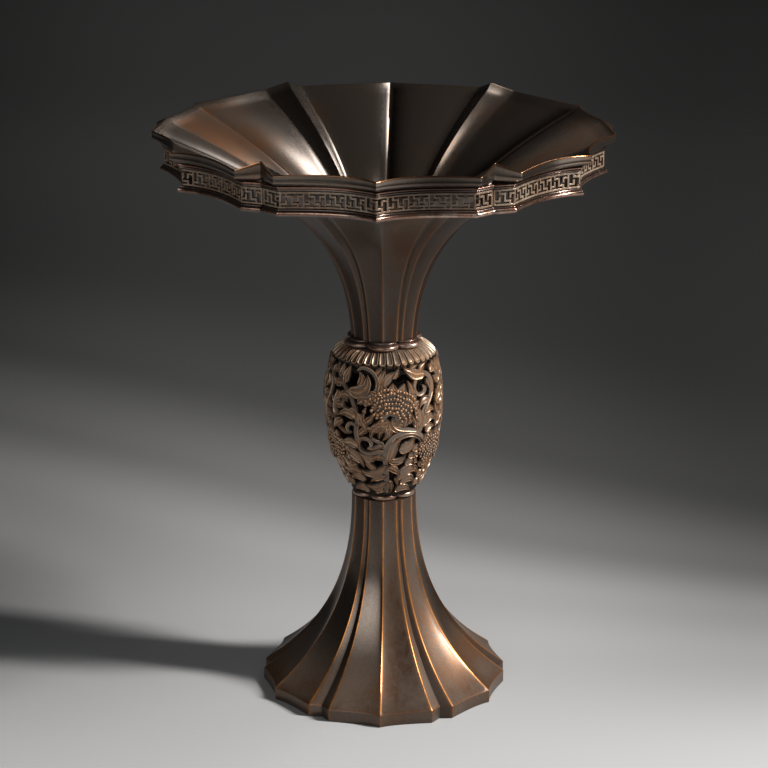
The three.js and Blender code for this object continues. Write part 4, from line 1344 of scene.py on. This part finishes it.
# The ground behind the scroll, with its piercings
def buildKnopGround(bm, profile):
    sootAndShadeLayer = layersOf(bm)[2]
    length = ground["top"]
    girth = 2 * math.pi * knop["bellyRadius"]
    sector = girth / knop["sectors"]
    grid = bmesh.ops.create_grid(bm, x_segments=ground["columns"], y_segments=ground["rows"], size=0.5)
    for vert in grid["verts"]:
        vert.co = (vert.co.x * girth, (vert.co.y + 0.5) * length, ground["level"])
        # painted shade on the ground
        vert[sootAndShadeLayer] = ground["soot_and_shade"]

    # how far a place lies from the middle of the nearest piercing, 1 on its edge
    def nearestPiercing(spot):
        best = (math.inf, 0.0, 0.0)
        for x, y, halfWidth, halfHeight in scrollPiercings:
            across = (spot.x - x + sector / 2) % sector - sector / 2
            away = math.hypot(across / halfWidth, (spot.y - y) / halfHeight)
            if away < best[0]:
                best = (away, across, spot.y - y)
        return best

    faces = dict.fromkeys(face for vert in grid["verts"] for face in vert.link_faces)
    pierced = [face for face in faces if nearestPiercing(face.calc_center_median())[0] < 1]
    bmesh.ops.delete(bm, geom=pierced, context="FACES")
    least, most = ground["edgeReach"]
    for vert in bm.verts:
        away, across, above = nearestPiercing(vert.co)
        between = ground["margin"] < vert.co.y < length - ground["margin"]
        if vert.is_boundary and between and least < away < most:
            vert.co += Vector((across, above, 0.0)) * (1 / away - 1)
    backing = bmesh.ops.extrude_face_region(bm, geom=list(bm.faces))["geom"]
    for item in backing:
        if isinstance(item, bmesh.types.BMVert):
            item.co.z = ground["back"]
    end = girth / 2 - ground["joinReach"]
    seam = [face for face in bm.faces if all(abs(vert.co.x) > end for vert in face.verts)]
    bmesh.ops.delete(bm, geom=seam, context="FACES")
    wrapOnKnop(bm, profile)
    bmesh.ops.remove_doubles(bm, verts=bm.verts, dist=ground["joinReach"])


def buildKnopBand(bm, radius, low):
    band = knop["band"]
    outer = radius - band["inset"]
    inner = radius - band["depth"]
    high = low + band["height"]
    innerSoot, outerSoot = band["soot_and_shade"]
    stations = [roundStation(inner, low, 0, innerSoot), roundStation(outer, low, 0, outerSoot)]
    stations += [roundStation(outer, high, 0, outerSoot), roundStation(inner, high, 0, innerSoot)]
    loftRing(bm, stations, evenTurns(band["columns"]))


def buildKnop():
    bm = newMesh()
    profile = knopProfile()
    for vine in scrollVines:
        carveStroke(bm, "vine", vine)
    for leaf in scrollLeaves:
        carveStroke(bm, "leaf", leaf)
    for flower in peonies:
        carvePeony(bm, **flower)
    wrapOnKnop(bm, profile)
    everything = list(bm.verts) + list(bm.edges) + list(bm.faces)
    copies = knop["sectors"] - 1
    bmesh.ops.spin(bm, geom=everything, cent=(0, 0, 0), axis=(0, 0, 1), steps=copies, use_duplicate=True,
                   angle=2 * math.pi * copies / knop["sectors"])
    wearAndHighlightLayer = layersOf(bm)[1]
    for vert in bm.verts:
        # painted highlight on the left side
        vert[wearAndHighlightLayer] += onSide(turnOf(vert.co), knop["leftHighlight"])
    buildKnopBand(bm, knop["baseRadius"] + knop["band"]["baseOut"], knopLow.z)
    buildKnopBand(bm, knop["topRadius"], knopHigh.z - knop["band"]["height"])
    backing = newMesh()
    buildKnopGround(backing, profile)
    joinInto(bm, backing)
    finishPiece(bm, "carvedKnop", carvedFinish, "stand", ["knop_openwork"],
                knop["sharp"])


buildKnop()

# Water liner: a thin turned cup
liner = {
    "wall": 1.0, "flangeWidth": 1.7, "flangeThickness": 1.2,
    "footRound": 0.8, "floorRound": 0.6,
    "segments": 64, "sharp": 40.0,
}


def buildLiner():
    bm = newMesh()
    low, top = linerLow.z, linerHigh.z
    outer = linerHigh.y - liner["flangeWidth"]
    bore = outer - liner["wall"]
    ledge = top - liner["flangeThickness"]
    floor = low + liner["wall"]
    heel, corner = liner["footRound"], liner["floorRound"]
    outline = [
        (0.0, low), (outer - heel, low), (outer, low + heel), (outer, ledge), (linerHigh.y, ledge),
        (linerHigh.y, top), (bore, top), (bore, floor + corner), (bore - corner, floor), (0.0, floor),
    ]
    verts = [bm.verts.new((radius, 0.0, height)) for radius, height in outline]
    edges = [bm.edges.new(pair) for pair in zip(verts, verts[1:])]
    bmesh.ops.spin(bm, geom=verts + edges, cent=(0, 0, 0), axis=(0, 0, 1), angle=2 * math.pi,
                   steps=liner["segments"], use_merge=True)
    bmesh.ops.remove_doubles(bm, verts=bm.verts, dist=tiny)
    finishPiece(bm, "linerCup", linerFinish, "liner", ["water_liner"],
                liner["sharp"])


buildLiner()

# Studio: a pale floor painted darker with distance, under a soft painted pool of light
studio = {
    "floorHalf": 4.0, "floorRough": 0.9, "floorSheen": 0.1,
    "floorTurn": (-0.2, 0.62),  # how far the fall-off leans sideways, near and further back
    "floorLean": (-0.15, 0.32), "floorEven": (0.5, 1.3),  # where it leans and where it evens out
    "paintedFloorFalloff": (  # place behind the vase and tone of the painted fall-off of light
        (-0.15, 0.46), (0.05, 0.31), (0.14, 0.255), (0.25, 0.125),
        (0.42, 0.05), (0.7, 0.036), (1.4, 0.056), (2.4, 0.1),
    ),
    "floorCool": 1.01,
    "world": (0.20, 0.20, 0.205), "worldStrength": 0.06,
}
paintedPool = {
    "depth": 1.3,  # how far before the vase its two edges meet
    "start": (-0.15, 0.2), "drift": (0.15, 0.7),  # where it begins and where it drifts sideways
    "shift": 0.06,
    "edge": (0.03, 0.17), "bright": 0.3, "fall": 0.65,
}


def buildFloor():
    bm = bmesh.new()
    bmesh.ops.create_grid(bm, x_segments=2, y_segments=2, size=studio["floorHalf"])
    floor = addObject("paleFloor", meshFrom(bm, "paleFloor"))
    material, tree, shader = newMaterial("floorPaintedLight")
    feedAll(tree, shader, {"Roughness": studio["floorRough"], "Specular IOR Level": studio["floorSheen"]})
    place = addNode(tree, "TexCoord").outputs["Object"]
    axes = addNode(tree, "SeparateXYZ", {"Vector": place}).outputs
    across, back = axes["X"], axes["Y"]

    # painted fall-off of light: tones by the place behind the vase, which leans sideways and evens out
    # far off
    near, far = studio["floorTurn"]
    lean = scaled(tree, addRamp(tree, back, *studio["floorLean"]), far - near, near)
    level = scaled(tree, addRamp(tree, back, *studio["floorEven"]), -1.0, 1.0)
    lean = addMath(tree, "MULTIPLY", lean, level)
    away = addMath(tree, "ADD", back, addMath(tree, "MULTIPLY", across, lean))
    nearest, farthest = studio["paintedFloorFalloff"][0][0], studio["paintedFloorFalloff"][-1][0]
    share = addMath(tree, "DIVIDE", addMath(tree, "SUBTRACT", away, nearest), farthest - nearest)
    fade = addNode(tree, "ValToRGB")
    fade.color_ramp.interpolation = "EASE"
    stops = fade.color_ramp.elements
    for index, (place, tone) in enumerate(studio["paintedFloorFalloff"]):
        spot = (place - nearest) / (farthest - nearest)
        stop = stops[index] if index < 2 else stops.new(spot)
        stop.position = spot
        stop.color = (tone, tone, tone * studio["floorCool"], 1.0)
    feed(tree, fade.inputs["Fac"], share)

    # painted pool of light: it runs back from the vase and drifts to one side
    side = addMath(tree, "DIVIDE", across, scaled(tree, back, 1.0, paintedPool["depth"]))
    side = addMath(tree, "ADD", side, scaled(tree, addRamp(tree, back, *paintedPool["drift"]), paintedPool["shift"]))
    edge = addRamp(tree, addMath(tree, "ABSOLUTE", side), *paintedPool["edge"])
    gain = scaled(tree, edge, -paintedPool["fall"], paintedPool["bright"])
    gain = addMath(tree, "MULTIPLY", gain, addRamp(tree, back, *paintedPool["start"]))
    light = scaled(tree, gain, 1.0, 1.0)
    feed(tree, shader["Base Color"], addMix(tree, 1.0, fade.outputs["Color"], light, "MULTIPLY"))
    floor.data.materials.append(material)


# Lamps: a key light from the right, a soft box in front, and two weak lights for the dish
lamps = {
    "keyLamp": {
        "place": (1.40, -0.30, 1.25), "aim": (0.0, 0.0, 0.16), "size": (0.14, 0.6),
        "power": 62.0, "spread": 180.0, "color": (1.0, 0.98, 0.95),
    },
    "softboxLamp": {
        "place": (-0.54, -1.31, 0.84), "aim": (0.0, 0.0, 0.16), "size": (1.20, 1.20),
        "power": 1.2, "spread": 64.0, "color": (0.98, 0.99, 1.0),
    },
    "backLamp": {
        "place": (0.321, 0.421, 0.796), "aim": (-0.06, 0.003, 0.292), "size": (0.23, 0.23),
        "power": 0.064, "spread": 26.0, "color": (1.0, 1.0, 1.0),
    },
    "topLamp": {
        "place": (0.59, -0.16, 1.55), "aim": (0.02, 0.05, 0.28), "size": (0.30, 0.30),
        "power": 0.045, "spread": 30.0, "color": (1.0, 1.0, 1.0),
    },
}


def addLamp(name, lamp):
    light = bpy.data.lights.new(name, "AREA")
    light.shape = "RECTANGLE"
    light.size, light.size_y = lamp["size"]
    light.energy = lamp["power"]
    light.spread = math.radians(lamp["spread"])
    light.color = lamp["color"]
    stand = addObject(name, light)
    stand.location = lamp["place"]
    travel = Vector(lamp["aim"]) - Vector(lamp["place"])
    stand.rotation_euler = travel.to_track_quat("-Z", "Y").to_euler()


buildFloor()
for lampName, lampSettings in lamps.items():
    addLamp(lampName, lampSettings)

world = bpy.data.worlds.new("studioAir")
world.use_nodes = True
air = world.node_tree.nodes["Background"].inputs
air["Color"].default_value = (*studio["world"], 1.0)
air["Strength"].default_value = studio["worldStrength"]
bpy.context.scene.world = world

# Camera at the photograph's angle
view = {
    "azimuth": 1.8, "distance": 1.2536, "height": 0.5729,
    "pitch": 18.03, "lens": 119.2, "sensor": 36.0,
}
cameraData = bpy.data.cameras.new("viewCamera")
cameraData.lens = view["lens"]
cameraData.sensor_width = view["sensor"]
camera = addObject("viewCamera", cameraData)
camera.location = ringPlace(view["distance"], view["azimuth"], view["height"])
camera.rotation_euler = (math.radians(90 - view["pitch"]), 0.0, math.radians(view["azimuth"]))
bpy.context.scene.camera = camera
bpy.context.scene.view_settings.view_transform = "Standard"
print("studio ready")
